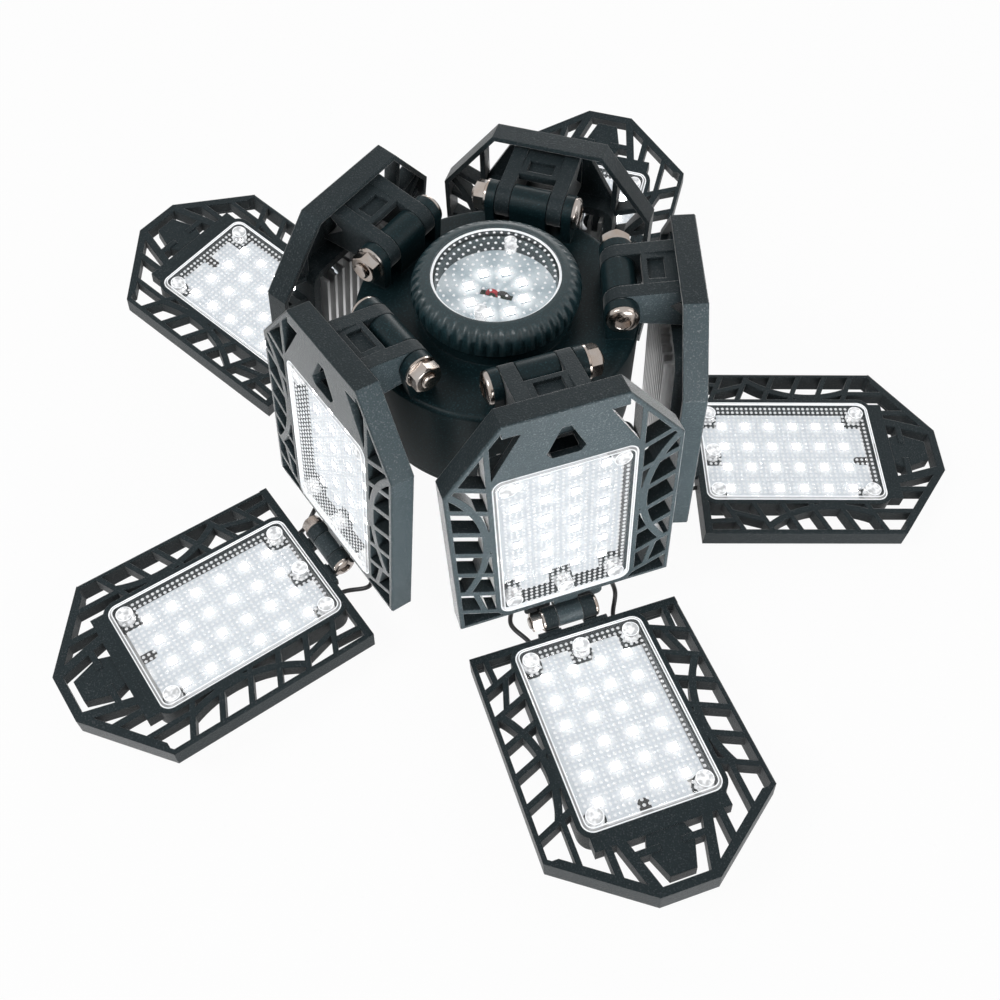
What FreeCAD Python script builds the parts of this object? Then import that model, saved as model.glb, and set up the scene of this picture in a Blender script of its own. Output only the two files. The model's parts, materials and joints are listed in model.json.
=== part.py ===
# Deformable garage ceiling light: a round hub with a screw base and five arms. Each arm is an
# inner and an outer light panel, hinged to the hub and to each other by bolted knuckle joints.
#
# Frame: +Z up, the hub's axis is Z, and the origin is the shoulder of the screw shell. The hub's
# own lamp looks along +Z and the base points down -Z. Wing 1 reaches towards -Y, and the others
# follow it counter-clockwise. All sizes are millimetres.
import FreeCAD
import Part
import math
import os

os.makedirs("parts", exist_ok=True)

# ---- wings -------------------------------------------------------------------------------------
wing_count = 5
first_wing_angle = -90.0
shoulder_rest = [6.1, 2.8, 1.0, 8.8, 6.7]     # how far each inner panel is swung out from hanging
elbow_rest = [92.7, 85.7, 111.3, 94.2, 87.2]  # how far each outer panel is folded forward

# ---- hub ---------------------------------------------------------------------------------------
housing_margin = 8.4        # hinge axis to the housing's outer wall
housing_bottom = 21.0
housing_top = 61.5
housing_wall = 2.4
housing_edge = 2.0
drum_rise = 6.5
drum_margin = 5.2           # drum's radius beyond the lens
lens_radius = 23.4
lens_thickness = 2.4
lens_rise = 1.6
lens_recess = 1.2
lens_boss_radius = 2.3
lens_boss_inset = 5.9       # boss centre to the lens's edge
lens_turn = 54.0            # azimuth of the lens's first boss and of the lamps' symmetry line
grip_margin = 7.4           # grip ring's radius beyond the lens
grip_height = 10.5
grip_lip = 1.3              # flat lip between the lens and the ring's rounded flank
grip_groove_count = 44
grip_groove_radius = 0.9
board_thickness = 1.6
hub_board_depth = 7.0
hub_led_circle = 10.5
hub_led_count = 8
hub_slot_length = 12.6      # slot for the lamp's leads
hub_slot_width = 3.8
driver_board_radius = 36.0
driver_board_height = 32.0
cover_thickness = 2.4
vent_count = 30
vent_width = 2.2
vent_length = 9.0
neck_top_radius = 27.0
neck_bottom_radius = 15.2

# ---- screw base --------------------------------------------------------------------------------
shell_radius = 13.0
shell_length = 20.0
shell_wall = 0.6
insulator_length = 4.4
insulator_end_radius = 6.2
contact_radius = 4.6
contact_height = 1.8

# ---- shoulder hinge ----------------------------------------------------------------------------
wing_room = 3.35            # half of the gap between two neighbouring panels' backs
hinge_rise = 10.8           # hinge axis above the housing's top
shoulder_barrel = 6.25
shoulder_bolt = 3.0
shoulder_knuckle = 14.2     # width of the hub's centre knuckle
shoulder_arm = 5.6          # width of each panel arm
shoulder_ear = 3.6          # width of each outer hub ear
shoulder_head = 6.0
shoulder_head_height = 2.6
shoulder_nut = 10.0         # across flats
shoulder_nut_height = 5.2
hinge_gap = 0.3             # side play between knuckles
bolt_play = 0.05            # bolt to bore, on the radius
face_reach = 28.5           # hinge axis to the panel's front face
top_above = 10.8            # panel's top edge above the hinge axis
bracket_reach = 15.0        # hinge axis to the back of the bracket's lower web
web_reach = 7.8             # hinge axis to the back of the bracket's upper web
web_drop = 1.2              # upper web below the arms' top
pocket_length = 6.0

# ---- panels ------------------------------------------------------------------------------------
panel_width = 86.0
inner_neck = 25.7           # inner panel's top edge to its cover
outer_nose = 27.8           # outer panel's cover to its far end
inner_top_width = 43.6
inner_chamfer = 26.6
outer_end_width = 21.6
outer_chamfer = 23.4
frame_depth = 8.8
rim_wall = 1.8
rim_edge = 0.5              # bevel along the rim's outer front edge
end_rim = 3.2
top_plate = 2.6

cover_width = 52.5
cover_length = 78.0
cover_plate = 2.0
cover_corner = 4.3
cover_bump = 0.5            # height of the cover's raised edge line
cover_margin = 2.8          # cover to the panel's hinge-side edge
cover_fit = 0.1
tray_wall = 2.0
tray_depth = 10.0
tray_ledge = 1.6
boss_radius = 3.5
boss_length = 2.6
boss_inset = 5.6            # boss centre to the cover's edges
post_wall = 0.8             # screw post's radius beyond the boss; the posts run into the tray wall
notch_gap = 0.3

board_depth = 6.0           # panel board behind the front face
board_margin = 1.2
led_columns = 4
led_rows = 6
led_first_column = 9.45     # cover's long edge to the first column of lamps
led_first_row = 12.0        # cover's short edge to the first row
led_size = 3.4
led_height = 0.8
fin_count = 12
fin_height = 3.5
fin_width = 1.3

# ---- lattice -----------------------------------------------------------------------------------
slat_width = 2.2
slat_depth = 6.0
slat_pitch = 12.1
slat_slope = 7.2            # how far a slat drops from the rim to the cover
arc_width = 2.8
arc_half_height = 30.2
arc_sagitta = 11.6

# ---- elbow hinge -------------------------------------------------------------------------------
elbow_setback = 6.2         # hinge axis to each panel's edge
elbow_proud = 2.4           # hinge axis in front of the panels' faces
elbow_barrel = 4.5
elbow_bolt_radius = 2.5
elbow_knuckle = 9.9
elbow_ear = 5.3
elbow_ear_root = 3.4        # thickness of an ear's root
elbow_head = 4.7
elbow_head_height = 1.7
elbow_nut = 7.3             # across flats
elbow_nut_height = 5.0
tab_half = 16.3             # guard tabs behind the barrel: half of their whole width
tab_inside = 5.6
tab_front = 5.2             # tab's front behind the hinge axis
tab_thickness = 2.4
tab_below = 1.6             # tab's lower edge below the hinge axis
foot_half = 14.3            # outer panel's raised foot: half width
foot_start = 4.9            # foot's edge from the hinge axis
foot_end = 6.9
foot_rise = 0.6
slot_half = 4.75            # opening in the foot in front of the centre knuckle
slot_end = 5.8
wire_radius = 0.95
wire_start = 20.3           # where a wire leaves the inner panel, from its middle
wire_bulge = 22.2           # the wire's widest point
wire_end = 17.4             # where it meets the outer panel
wire_slack = 6.8            # how far the wire's middle hangs behind the hinge axis
wire_depth = 4.5            # where the wires leave a panel, behind its face
wire_gap = 0.2              # wire's end to the outer panel's edge

# ---- derived -----------------------------------------------------------------------------------
half_width = panel_width / 2
frame_back = face_reach - frame_depth
hinge_radius = (half_width + wing_room) / math.tan(math.pi / wing_count) - frame_back
hinge_height = housing_top + hinge_rise
housing_radius = hinge_radius + housing_margin
drum_radius = lens_radius + drum_margin
grip_outer_radius = lens_radius + grip_margin
inner_length = inner_neck + cover_length + cover_margin
outer_length = cover_margin + cover_length + outer_nose
inner_top = -top_above
inner_bottom = inner_length - top_above
elbow_drop = inner_bottom + elbow_setback
elbow_reach = face_reach + elbow_proud
shoulder_half = shoulder_knuckle / 2 + shoulder_arm + 2 * hinge_gap + shoulder_ear
elbow_half = elbow_knuckle / 2 + hinge_gap + elbow_ear
tray_half = cover_width / 2 + tray_wall
led_pitch_across = (cover_width - 2 * led_first_column) / (led_columns - 1)
led_pitch_along = (cover_length - 2 * led_first_row) / (led_rows - 1)
lens_z = housing_top + drum_rise + grip_height - lens_recess - lens_thickness


def vector(x, y, z):
    return FreeCAD.Vector(x, y, z)


def cylinder(radius, height, base, axis):
    return Part.makeCylinder(radius, height, base, axis)


def up_cylinder(radius, bottom, top, x=0.0, y=0.0):
    """Upright cylinder between two heights."""
    return cylinder(radius, top - bottom, vector(x, y, bottom), vector(0, 0, 1))


def cross_cylinder(radius, start, end, x=0.0, z=0.0):
    """Cylinder lying across a wing, from y = start to y = end."""
    return cylinder(radius, end - start, vector(x, start, z), vector(0, 1, 0))


def polar(radius, azimuth):
    """Plan position at a radius and an azimuth in degrees."""
    angle = math.radians(azimuth)
    return radius * math.cos(angle), radius * math.sin(angle)


def fuse(shapes):
    return shapes[0].multiFuse(shapes[1:]).removeSplitter()


def plate(outline, back, front):
    """Prism of an outline given as (across, down) points, from depth back to depth front."""
    points = [vector(back, across, -down) for across, down in outline]
    face = Part.Face(Part.makePolygon(points + points[:1]))
    return face.extrude(vector(front - back, 0, 0))


def side_plate(outline, start, end):
    """Prism of an outline given as (forward, up) points, from y = start to y = end."""
    points = [vector(forward, start, up) for forward, up in outline]
    face = Part.Face(Part.makePolygon(points + points[:1]))
    return face.extrude(vector(0, end - start, 0))


def side_block(back, front, bottom, top, half):
    """Block between two forward distances and two heights, as wide as twice half."""
    return side_plate([(back, bottom), (front, bottom), (front, top), (back, top)], -half, half)


def box_outline(half, top, bottom):
    return [(-half, top), (half, top), (half, bottom), (-half, bottom)]


def rounded_plate(half, top, bottom, radius, back, front):
    """Rectangular plate whose four corners, seen from the front, are rounded."""
    solid = plate(box_outline(half, top, bottom), back, front)
    corners = [edge for edge in solid.Edges if edge.BoundBox.XLength > (front - back) / 2]
    return solid.makeFillet(radius, corners)


def bar(start, end, width, back, front):
    """Straight rib from one (across, down) point to another."""
    across = end[0] - start[0]
    down = end[1] - start[1]
    length = math.hypot(across, down)
    side = (-down / length * width / 2, across / length * width / 2)
    outline = [
        (start[0] + side[0], start[1] + side[1]),
        (end[0] + side[0], end[1] + side[1]),
        (end[0] - side[0], end[1] - side[1]),
        (start[0] - side[0], start[1] - side[1]),
    ]
    return plate(outline, back, front)


def arc_rib(middle_down, inner_edge, width, back, front):
    """Curved rib that bulges towards the cover, reaching inner_edge at middle_down."""
    radius = (arc_half_height ** 2 + arc_sagitta ** 2) / (2 * arc_sagitta)
    centre = vector(back, inner_edge + radius, -middle_down)
    outer = cylinder(radius + width / 2, front - back, centre, vector(1, 0, 0))
    inner = cylinder(radius - width / 2, front - back, centre, vector(1, 0, 0))
    return outer.cut(inner)


def inset(outline, distance):
    """Convex outline moved inwards by the same distance on every side."""
    middle = [sum(point[i] for point in outline) / len(outline) for i in (0, 1)]
    lines = []
    for first, second in zip(outline, outline[1:] + outline[:1]):
        normal = (second[1] - first[1], first[0] - second[0])
        length = math.hypot(*normal)
        normal = (normal[0] / length, normal[1] / length)
        offset = normal[0] * first[0] + normal[1] * first[1]
        inward = normal[0] * middle[0] + normal[1] * middle[1] < offset
        lines.append((normal, offset - distance if inward else offset + distance))
    corners = []
    for (n1, d1), (n2, d2) in zip(lines[-1:] + lines[:-1], lines):
        det = n1[0] * n2[1] - n1[1] * n2[0]
        corners.append(((d1 * n2[1] - d2 * n1[1]) / det, (n1[0] * d2 - n2[0] * d1) / det))
    return corners


def mirrored(shape):
    """The shape and its mirror image on the other half of the panel."""
    return [shape, shape.mirror(vector(0, 0, 0), vector(0, 1, 0))]


def turned(shape, angle):
    """Copy turned forward about the hinge axis through the origin."""
    copy = shape.copy()
    copy.rotate(vector(0, 0, 0), vector(0, 1, 0), -angle)
    return copy


def on_hub(shape, wing):
    """Copy carried from the hinge at azimuth 0 to the hub's hinge of this wing."""
    copy = shape.copy()
    copy.translate(vector(hinge_radius, 0, hinge_height))
    copy.rotate(vector(0, 0, 0), vector(0, 0, 1), first_wing_angle + wing * 360.0 / wing_count)
    return copy


def on_inner(shape, wing):
    return on_hub(turned(shape, shoulder_rest[wing]), wing)


def on_outer(shape, wing):
    copy = turned(shape, elbow_rest[wing])
    copy.translate(vector(elbow_reach, 0, -elbow_drop))
    return on_inner(copy, wing)


# ---- panel pieces ------------------------------------------------------------------------------
def inner_outline():
    top = inner_top_width / 2
    shoulder = inner_top + inner_chamfer
    return [
        (-top, inner_top),
        (top, inner_top),
        (half_width, shoulder),
        (half_width, inner_bottom),
        (-half_width, inner_bottom),
        (-half_width, shoulder),
    ]


def outer_outline():
    end = elbow_setback + outer_length
    corner = end - outer_chamfer
    return [
        (-half_width, elbow_setback),
        (half_width, elbow_setback),
        (half_width, corner),
        (outer_end_width / 2, end),
        (-outer_end_width / 2, end),
        (-half_width, corner),
    ]


def rim(outline, wall, front):
    """Upstanding wall that runs round a panel."""
    back = front - frame_depth
    solid = plate(outline, back, front)
    edges = [edge for edge in solid.Edges if edge.BoundBox.XMin > front - 0.01]
    solid = solid.makeChamfer(rim_edge, edges)
    return solid.cut(plate(inset(outline, wall), back - 1, front + 1))


def tray(top, front):
    """Box behind the cover: wall, seat for the cover and opening for board and heat sink."""
    bottom = top + cover_length
    back = front - tray_depth
    fit = cover_fit
    shell = rounded_plate(tray_half, top - tray_wall, bottom + tray_wall, cover_corner + tray_wall,
                          back, front)
    seat = rounded_plate(cover_width / 2 + fit, top - fit, bottom + fit, cover_corner + fit,
                         front - cover_plate, front + 1)
    well = rounded_plate(cover_width / 2 - tray_ledge, top + tray_ledge, bottom - tray_ledge,
                         cover_corner - tray_ledge, back - 1, front)
    return shell.cut(seat).cut(well)


def slat_point(first_down, index, slope, share):
    """Point on a slat, a share of the way from the rim to the tray."""
    across = half_width - share * (half_width - tray_half + 1)
    return across, first_down + index * slat_pitch + share * slope


def lattice(first_down, count, slope, front):
    """Slats of one side, before they are trimmed to the panel."""
    return [bar(slat_point(first_down, index, slope, 0), slat_point(first_down, index, slope, 1),
                slat_width, front - slat_depth, front) for index in range(count)]


def lattice_arc(first_down, from_slat, to_slat, slope, front, middle):
    """Curved rib between two slats' centre lines, joined to the tray where it passes close to it."""
    back = front - slat_depth
    rib = arc_rib(middle, half_width - arc_sagitta - rim_wall, arc_width, back, front)
    join = plate([(tray_half - 0.5, middle - 6), (tray_half + 1.4, middle - 6),
                  (tray_half + 1.4, middle + 6), (tray_half - 0.5, middle + 6)], back, front)
    bay = plate([slat_point(first_down, from_slat, slope, 0), slat_point(first_down, from_slat, slope, 1),
                 slat_point(first_down, to_slat, slope, 1), slat_point(first_down, to_slat, slope, 0)],
                back, front)
    return rib.fuse(join).common(bay)


def side_bay(outline, top, bottom, front):
    """Room between the tray and the rim on one side of a panel."""
    room = plate(inset(outline, rim_wall / 2), front - frame_depth, front)
    side = [(tray_half - 0.5, top), (half_width, top), (half_width, bottom), (tray_half - 0.5, bottom)]
    return room.common(plate(side, front - frame_depth, front))


def cover_screw_post(across, down, front):
    """Post at a tray corner that takes a cover screw from behind."""
    start = vector(front - tray_depth, across, -down)
    height = tray_depth - cover_plate - boss_length
    return cylinder(boss_radius + post_wall, height, start, vector(1, 0, 0))


def post_notch(across, down, top, back, front):
    """Room for a screw post, open towards the tray walls that the post stands against."""
    radius = boss_radius + post_wall + notch_gap
    left = across - (radius if across >= 0 else 2 * radius)
    right = across + (radius if across <= 0 else 2 * radius)
    near = down < top + cover_length / 2
    upper = down - (2 * radius if near else radius)
    lower = down + (radius if near else 2 * radius)
    return plate([(left, upper), (right, upper), (right, lower), (left, lower)], back, front)


def boss_places(top, elbow_above):
    """Centres of the cover's screw bosses: four corners and the middle of the elbow's side."""
    across = cover_width / 2 - boss_inset
    near = top + boss_inset
    far = top + cover_length - boss_inset
    middle = near if elbow_above else far
    return [(-across, near), (across, near), (0.0, middle), (-across, far), (across, far)]


def shoulder_bracket():
    """Two bored arms, each with a three-cornered window, and the webs between them."""
    front = face_reach - top_plate / 2
    high = top_above - 2.8
    low = -top_above + 0.8
    inner_side = shoulder_knuckle / 2 + hinge_gap
    outer_side = inner_side + shoulder_arm
    arm = side_plate([(0, shoulder_barrel), (front, high), (front, low), (0, -shoulder_barrel)],
                     inner_side, outer_side)
    arm = arm.fuse(cross_cylinder(shoulder_barrel, inner_side, outer_side))
    opening = side_plate([(bracket_reach + 2, 0.6), (front - 2.6, high - 2.6), (front - 2.6, low + 2.8)],
                         0, outer_side + 1)
    arm = arm.cut(opening)
    top = high - web_drop
    half = inner_side + 1
    upper = side_block(web_reach, front, top - 3, top, half)
    pocket = side_block(web_reach + 2, web_reach + 2 + pocket_length, top - 1.6, top + 1, half - 3.4)
    lower = side_block(bracket_reach, front, low, low + 3, half)
    bore = cross_cylinder(shoulder_bolt + bolt_play, -shoulder_half, shoulder_half)
    return fuse(mirrored(arm) + [upper.cut(pocket), lower]).cut(bore)


def knuckle_arm(start, end, side, thickness, wrap):
    """Barrel and root of one elbow knuckle.

    The root runs from the barrel's back, wrap degrees round it, to the panel's edge. The panel
    lies above the hinge axis for side 1 and below it for side -1.
    """
    back = math.radians(180 + wrap)
    edge = side * (elbow_setback + 0.6)
    meet = side * math.sqrt(elbow_barrel ** 2 - elbow_proud ** 2)
    outline = [
        (-elbow_proud - thickness, edge),
        (-elbow_proud, edge),
        (-elbow_proud, meet),
        (elbow_barrel * math.cos(back), side * elbow_barrel * math.sin(back)),
    ]
    return side_plate(outline, start, end).fuse(cross_cylinder(elbow_barrel, start, end))


def guard_tab():
    """Tab under an inner panel's lower edge that stands behind the elbow's barrel."""
    front = -tab_front
    tab = plate(box_outline((tab_half - tab_inside) / 2, -elbow_setback - 1, tab_below),
                front - tab_thickness, front)
    lower = [edge for edge in tab.Edges if edge.BoundBox.XLength > tab_thickness / 2
             and edge.BoundBox.ZMax < 0]
    tab = tab.makeFillet(2.2, lower)
    tab.translate(vector(0, (tab_half + tab_inside) / 2, 0))
    return tab


def elbow_foot():
    """Raised foot along an outer panel's near edge, with a slot in front of the centre knuckle."""
    front = -elbow_proud
    foot = plate(box_outline(foot_half, foot_start, foot_end), front - 2.6, front + foot_rise)
    slot = plate(box_outline(slot_half, foot_start - 1, slot_end), front - 4, front + 2)
    return foot.cut(slot)


def inner_frame():
    """Moulded lattice frame of an inner panel, with its bracket and the elbow's centre knuckle."""
    outline = inner_outline()
    front = face_reach
    back = front - frame_depth
    cover_top = inner_bottom - cover_margin - cover_length
    tray_top = cover_top - tray_wall
    room = plate(inset(outline, rim_wall / 2), back, front)
    pieces = [rim(outline, rim_wall, front), tray(cover_top, front)]
    # face plate between the top edge and the cover, with a five-cornered window
    face = plate([(-12.2, inner_top), (12.2, inner_top), (tray_half, tray_top + 4),
                  (-tray_half, tray_top + 4)], front - top_plate, front)
    window_top = inner_top + 7.6
    window_bottom = inner_top + 21.0
    window = plate([(-1.6, window_top), (1.6, window_top), (6.9, window_bottom - 2.4),
                    (5.0, window_bottom), (-5.0, window_bottom), (-6.9, window_bottom - 2.4)],
                   front - frame_depth, front + 1)
    band = plate(box_outline(inner_top_width / 2, inner_top, inner_top + 5.4), front - 4.0, front)
    pieces.append(room.common(face.fuse(band).cut(window)))
    tray_window = plate(box_outline(tray_half - 1, cover_top, cover_top + cover_length),
                        front - frame_depth, front + 1)
    pieces[-1] = pieces[-1].cut(tray_window)
    # upright beside the corner opening, in line with the tray wall
    upright = bar((tray_half - tray_wall / 2, inner_top + 3), (tray_half - tray_wall / 2, cover_top + 3),
                  tray_wall, front - slat_depth, front)
    count = int((cover_length + 3.0) / slat_pitch) + 1
    first = cover_top - 4.3
    ribs = lattice(first, count, slat_slope, front)
    ribs.append(lattice_arc(first, -1, count - 2, slat_slope, front, cover_top + 30.6))
    ribs.append(bar(slat_point(first, count - 2, slat_slope, 0.47),
                    slat_point(first, count - 1, slat_slope, 0.66), slat_width, front - slat_depth, front))
    bay = side_bay(outline, inner_top + 4, inner_bottom - 1, front)
    lattice_side = fuse([rib.common(bay) for rib in ribs])
    pieces += mirrored(room.common(upright)) + mirrored(lattice_side)
    # screw posts, hinge bracket and elbow knuckle
    pieces += [cover_screw_post(across, down, front) for across, down in boss_places(cover_top, False)]
    bracket = shoulder_bracket()
    pieces.append(bracket.cut(window))
    knuckle = knuckle_arm(-elbow_knuckle / 2, elbow_knuckle / 2, 1, 7.0, 35)
    elbow = fuse([knuckle] + mirrored(guard_tab()))
    elbow.translate(vector(elbow_reach, 0, -elbow_drop))
    pieces.append(elbow)
    bore = cross_cylinder(elbow_bolt_radius + bolt_play, -half_width, half_width, elbow_reach, -elbow_drop)
    return fuse(pieces).cut(bore)


def outer_frame():
    """Moulded lattice frame of an outer panel, with the two ears of the elbow."""
    outline = outer_outline()
    front = -elbow_proud
    back = front - frame_depth
    end = elbow_setback + outer_length
    cover_top = elbow_setback + cover_margin
    cover_end = cover_top + cover_length
    rib_back = front - slat_depth
    room = plate(inset(outline, rim_wall / 2), back, front)
    pieces = [rim(outline, rim_wall, front), tray(cover_top, front)]
    near_bar = plate(box_outline(half_width, elbow_setback, elbow_setback + 3.2), front - 4.5, front)
    near_bar = near_bar.cut(plate(box_outline(tray_half - 1, cover_top, cover_end), back, front + 1))
    end_band = plate(outline, rib_back, front)
    end_band = end_band.cut(plate(inset(outline, end_rim), back - 1, front + 1))
    end_band = end_band.common(plate(box_outline(half_width, end - outer_chamfer, end), back, front))
    foot = plate(box_outline(tray_half - 3, cover_end + 0.5, cover_end + 6.5), rib_back, front)
    pieces += [near_bar, end_band, foot]
    # side lattice
    count = int((cover_length - 16.3) / slat_pitch) + 1
    first = cover_top + 14.2
    ribs = lattice(first, count, -slat_slope, front)
    ribs.append(lattice_arc(first, 1, count - 1, -slat_slope, front, cover_top + 52.8))
    ribs.append(bar((half_width - 5.8, elbow_setback + 2.5), slat_point(first, 0, -slat_slope, 0.42),
                    slat_width, rib_back, front))
    ribs.append(bar(slat_point(first, 0, -slat_slope, 0.68), slat_point(first, 1, -slat_slope, 0.42),
                    slat_width, rib_back, front))
    bay = side_bay(outline, elbow_setback + 2, cover_end, front)
    pieces += mirrored(fuse([rib.common(bay) for rib in ribs]))
    # end ribs around the six-sided boss
    end_ribs = [
        bar((tray_half + 3.5, cover_end - 8), (tray_half + 3.5, end), 2.0, rib_back, front),
        bar((tray_half - 7.6, cover_end + 3), (tray_half - 7.6, end), 2.6, rib_back, front),
        bar((17.0, cover_end + 2), (9.6, end), 3.6, rib_back, front),
        bar((4.0, cover_end + 11.9), (15.0, cover_end + 11.9), 2.4, rib_back, front),
    ]
    trimmed = [rib.common(room) for rib in end_ribs]
    pieces += mirrored(fuse(trimmed))
    boss = plate([(-4.6, cover_end), (4.6, cover_end), (8.8, cover_end + 11.4), (4.8, end - 5.6),
                  (-4.8, end - 5.6), (-8.8, cover_end + 11.4)], rib_back, front - 0.4)
    pieces.append(boss)
    pieces += [cover_screw_post(across, down, front) for across, down in boss_places(cover_top, True)]
    ear_start = elbow_knuckle / 2 + hinge_gap
    pieces += mirrored(knuckle_arm(ear_start, elbow_half, -1, elbow_ear_root, 8))
    pieces.append(elbow_foot())
    bore = cross_cylinder(elbow_bolt_radius + bolt_play, -half_width, half_width)
    return fuse(pieces).cut(bore)


def panel_cover(top, front, elbow_above):
    """Clear cover: a rounded plate with a raised edge line and screw bosses on its back."""
    bottom = top + cover_length
    half = cover_width / 2
    solid = rounded_plate(half, top, bottom, cover_corner, front - cover_plate, front)
    edge = rounded_plate(half - 0.9, top + 0.9, bottom - 0.9, cover_corner - 0.9,
                         front - 0.2, front + cover_bump)
    edge = edge.cut(rounded_plate(half - 2.1, top + 2.1, bottom - 2.1, cover_corner - 2.1,
                                  front - 1, front + 1))
    bosses = []
    for across, down in boss_places(top, elbow_above):
        start = vector(front - cover_plate - boss_length, across, -down)
        bosses.append(cylinder(boss_radius, boss_length + cover_plate, start, vector(1, 0, 0)))
    return fuse([solid, edge] + bosses)


def panel_board(top, front, elbow_above):
    """Circuit board with its grid of lamps, notched round the screw posts."""
    bottom = top + cover_length
    half = cover_width / 2 - tray_ledge - board_margin
    margin = tray_ledge + board_margin
    face = front - board_depth
    board = plate(box_outline(half, top + margin, bottom - margin), face - board_thickness, face)
    for across, down in boss_places(top, elbow_above):
        board = board.cut(post_notch(across, down, top, face - board_thickness - 1, face + 1))
    lamps = []
    for column in range(led_columns):
        across = (column - (led_columns - 1) / 2) * led_pitch_across
        for row in range(led_rows):
            down = top + led_first_row + row * led_pitch_along
            outline = box_outline(led_size / 2, down - led_size / 2, down + led_size / 2)
            outline = [(point[0] + across, point[1]) for point in outline]
            lamps.append(plate(outline, face - 0.1, face + led_height))
    return fuse([board] + lamps)


def panel_heat_sink(top, front, elbow_above):
    """Finned plate that closes the tray from behind and carries the board."""
    bottom = top + cover_length
    fit = cover_fit
    half = cover_width / 2 - tray_ledge - fit
    base_front = front - board_depth - board_thickness
    base_back = front - tray_depth
    first = top + tray_ledge + fit
    last = bottom - tray_ledge - fit
    base = plate(box_outline(half, first, last), base_back, base_front)
    fins = []
    for index in range(fin_count):
        across = -half + fin_width / 2 + index * (2 * half - fin_width) / (fin_count - 1)
        fins.append(bar((across, first), (across, last), fin_width, base_back - fin_height, base_back + 0.1))
    solid = fuse([base] + fins)
    for across, down in boss_places(top, elbow_above):
        solid = solid.cut(post_notch(across, down, top, base_back - 0.05, front))
    return solid


def hex_nut(across_flats, height, start, direction, bore):
    """Flanged hexagon nut lying across a wing, from y = start outwards."""
    radius = across_flats / math.sqrt(3)
    corners = [(radius * math.cos(math.radians(60 * i)), radius * math.sin(math.radians(60 * i)))
               for i in range(6)]
    nut = side_plate(corners, start, start + direction * height)
    flange = cylinder(radius + 0.5, height * 0.22, vector(0, start, 0), vector(0, direction, 0))
    return nut.fuse(flange).cut(cross_cylinder(bore, -half_width, half_width))


def round_head(radius, height, start, direction):
    """Low domed bolt head on a short collar, with a small flat on the dome."""
    rise = vector(radius, height * 0.35, 0)
    flat = vector(radius * 0.3, height, 0)
    dome = Part.Arc(rise, vector(radius * 0.74, height * 0.8, 0), flat).toShape()
    rest = Part.makePolygon([flat, vector(0, height, 0), vector(0, 0, 0), vector(radius, 0, 0), rise])
    profile = Part.Face(Part.Wire([dome] + rest.Edges))
    head = profile.revolve(vector(0, 0, 0), vector(0, 1, 0), 360)
    if direction < 0:
        head = head.mirror(vector(0, 0, 0), vector(0, 1, 0))
    head.translate(vector(0, start, 0))
    return head


def elbow_bolt():
    """Bolt and nut of one elbow."""
    end = elbow_half + elbow_nut_height + 0.9
    shank = cross_cylinder(elbow_bolt_radius, -end, elbow_half + 0.5)
    head = round_head(elbow_head, elbow_head_height, elbow_half, 1)
    nut = hex_nut(elbow_nut, elbow_nut_height, -elbow_half, -1, elbow_bolt_radius - 0.1)
    return fuse([shank, head, nut])


def elbow_wires(wing):
    """Two supply wires of one elbow, each bowed from the inner panel's edge to the outer's."""
    fold = math.radians(elbow_rest[wing])
    along = vector(math.sin(fold), 0, -math.cos(fold))
    facing = vector(math.cos(fold), 0, math.sin(fold))
    hinge = vector(elbow_reach, 0, -elbow_drop)
    start = vector(face_reach - wire_depth, wire_start, -inner_bottom)
    end = hinge + along * (elbow_setback - wire_gap) - facing * (elbow_proud + wire_depth)
    end.y = wire_end
    lean = vector(-math.cos(fold / 2), 0, -math.sin(fold / 2))
    middle = hinge + lean * wire_slack
    middle.y = wire_bulge
    down = vector(0, 0, -1)
    curve = Part.BSplineCurve()
    curve.interpolate(Points=[start, middle, end], InitialTangent=down, FinalTangent=along)
    route = Part.Wire(curve.toShape())
    section = Part.Wire(Part.makeCircle(wire_radius, start, down))
    wire = route.makePipeShell([section], True, True)
    return Part.makeCompound(mirrored(wire))


# ---- hub pieces --------------------------------------------------------------------------------
def hub_knuckles():
    """Centre knuckle and the two ears of one shoulder, standing on the housing's top."""
    ear_start = shoulder_knuckle / 2 + shoulder_arm + 2 * hinge_gap
    root = -hinge_rise - housing_wall / 2
    foot = shoulder_barrel - 1.2
    pieces = []
    for start, end in ((-shoulder_knuckle / 2, shoulder_knuckle / 2), (ear_start, shoulder_half),
                       (-shoulder_half, -ear_start)):
        post = side_plate([(-shoulder_barrel, 0), (shoulder_barrel, 0), (foot, root), (-foot, root)],
                          start, end)
        pieces += [post, cross_cylinder(shoulder_barrel, start, end)]
    return pieces


def hub_housing():
    """Round moulded housing: skirt, top, lens drum and the knuckles of all shoulders."""
    outer = up_cylinder(housing_radius, housing_bottom, housing_top)
    top_edges = [edge for edge in outer.Edges if abs(edge.BoundBox.ZMin - housing_top) < 0.01
                 and edge.BoundBox.ZLength < 0.01]
    outer = outer.makeFillet(housing_edge, top_edges)
    drum_top = housing_top + drum_rise
    drum = up_cylinder(drum_radius, housing_top - housing_wall, drum_top)
    knuckles = []
    bores = []
    for wing in range(wing_count):
        knuckles += [on_hub(piece, wing) for piece in hub_knuckles()]
        bores.append(on_hub(cross_cylinder(shoulder_bolt + bolt_play, -shoulder_half - 1,
                                           shoulder_half + 1), wing))
    solid = fuse([outer, drum] + knuckles)
    hollow = up_cylinder(housing_radius - housing_wall, housing_bottom - 1, housing_top - housing_wall)
    well = up_cylinder(lens_radius - 0.8, housing_bottom, drum_top + 1)
    step = up_cylinder(drum_radius - housing_wall, housing_top - housing_wall - 1, drum_top - housing_wall)
    return solid.cut(hollow.fuse([well, step])).cut(Part.makeCompound(bores))


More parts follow.
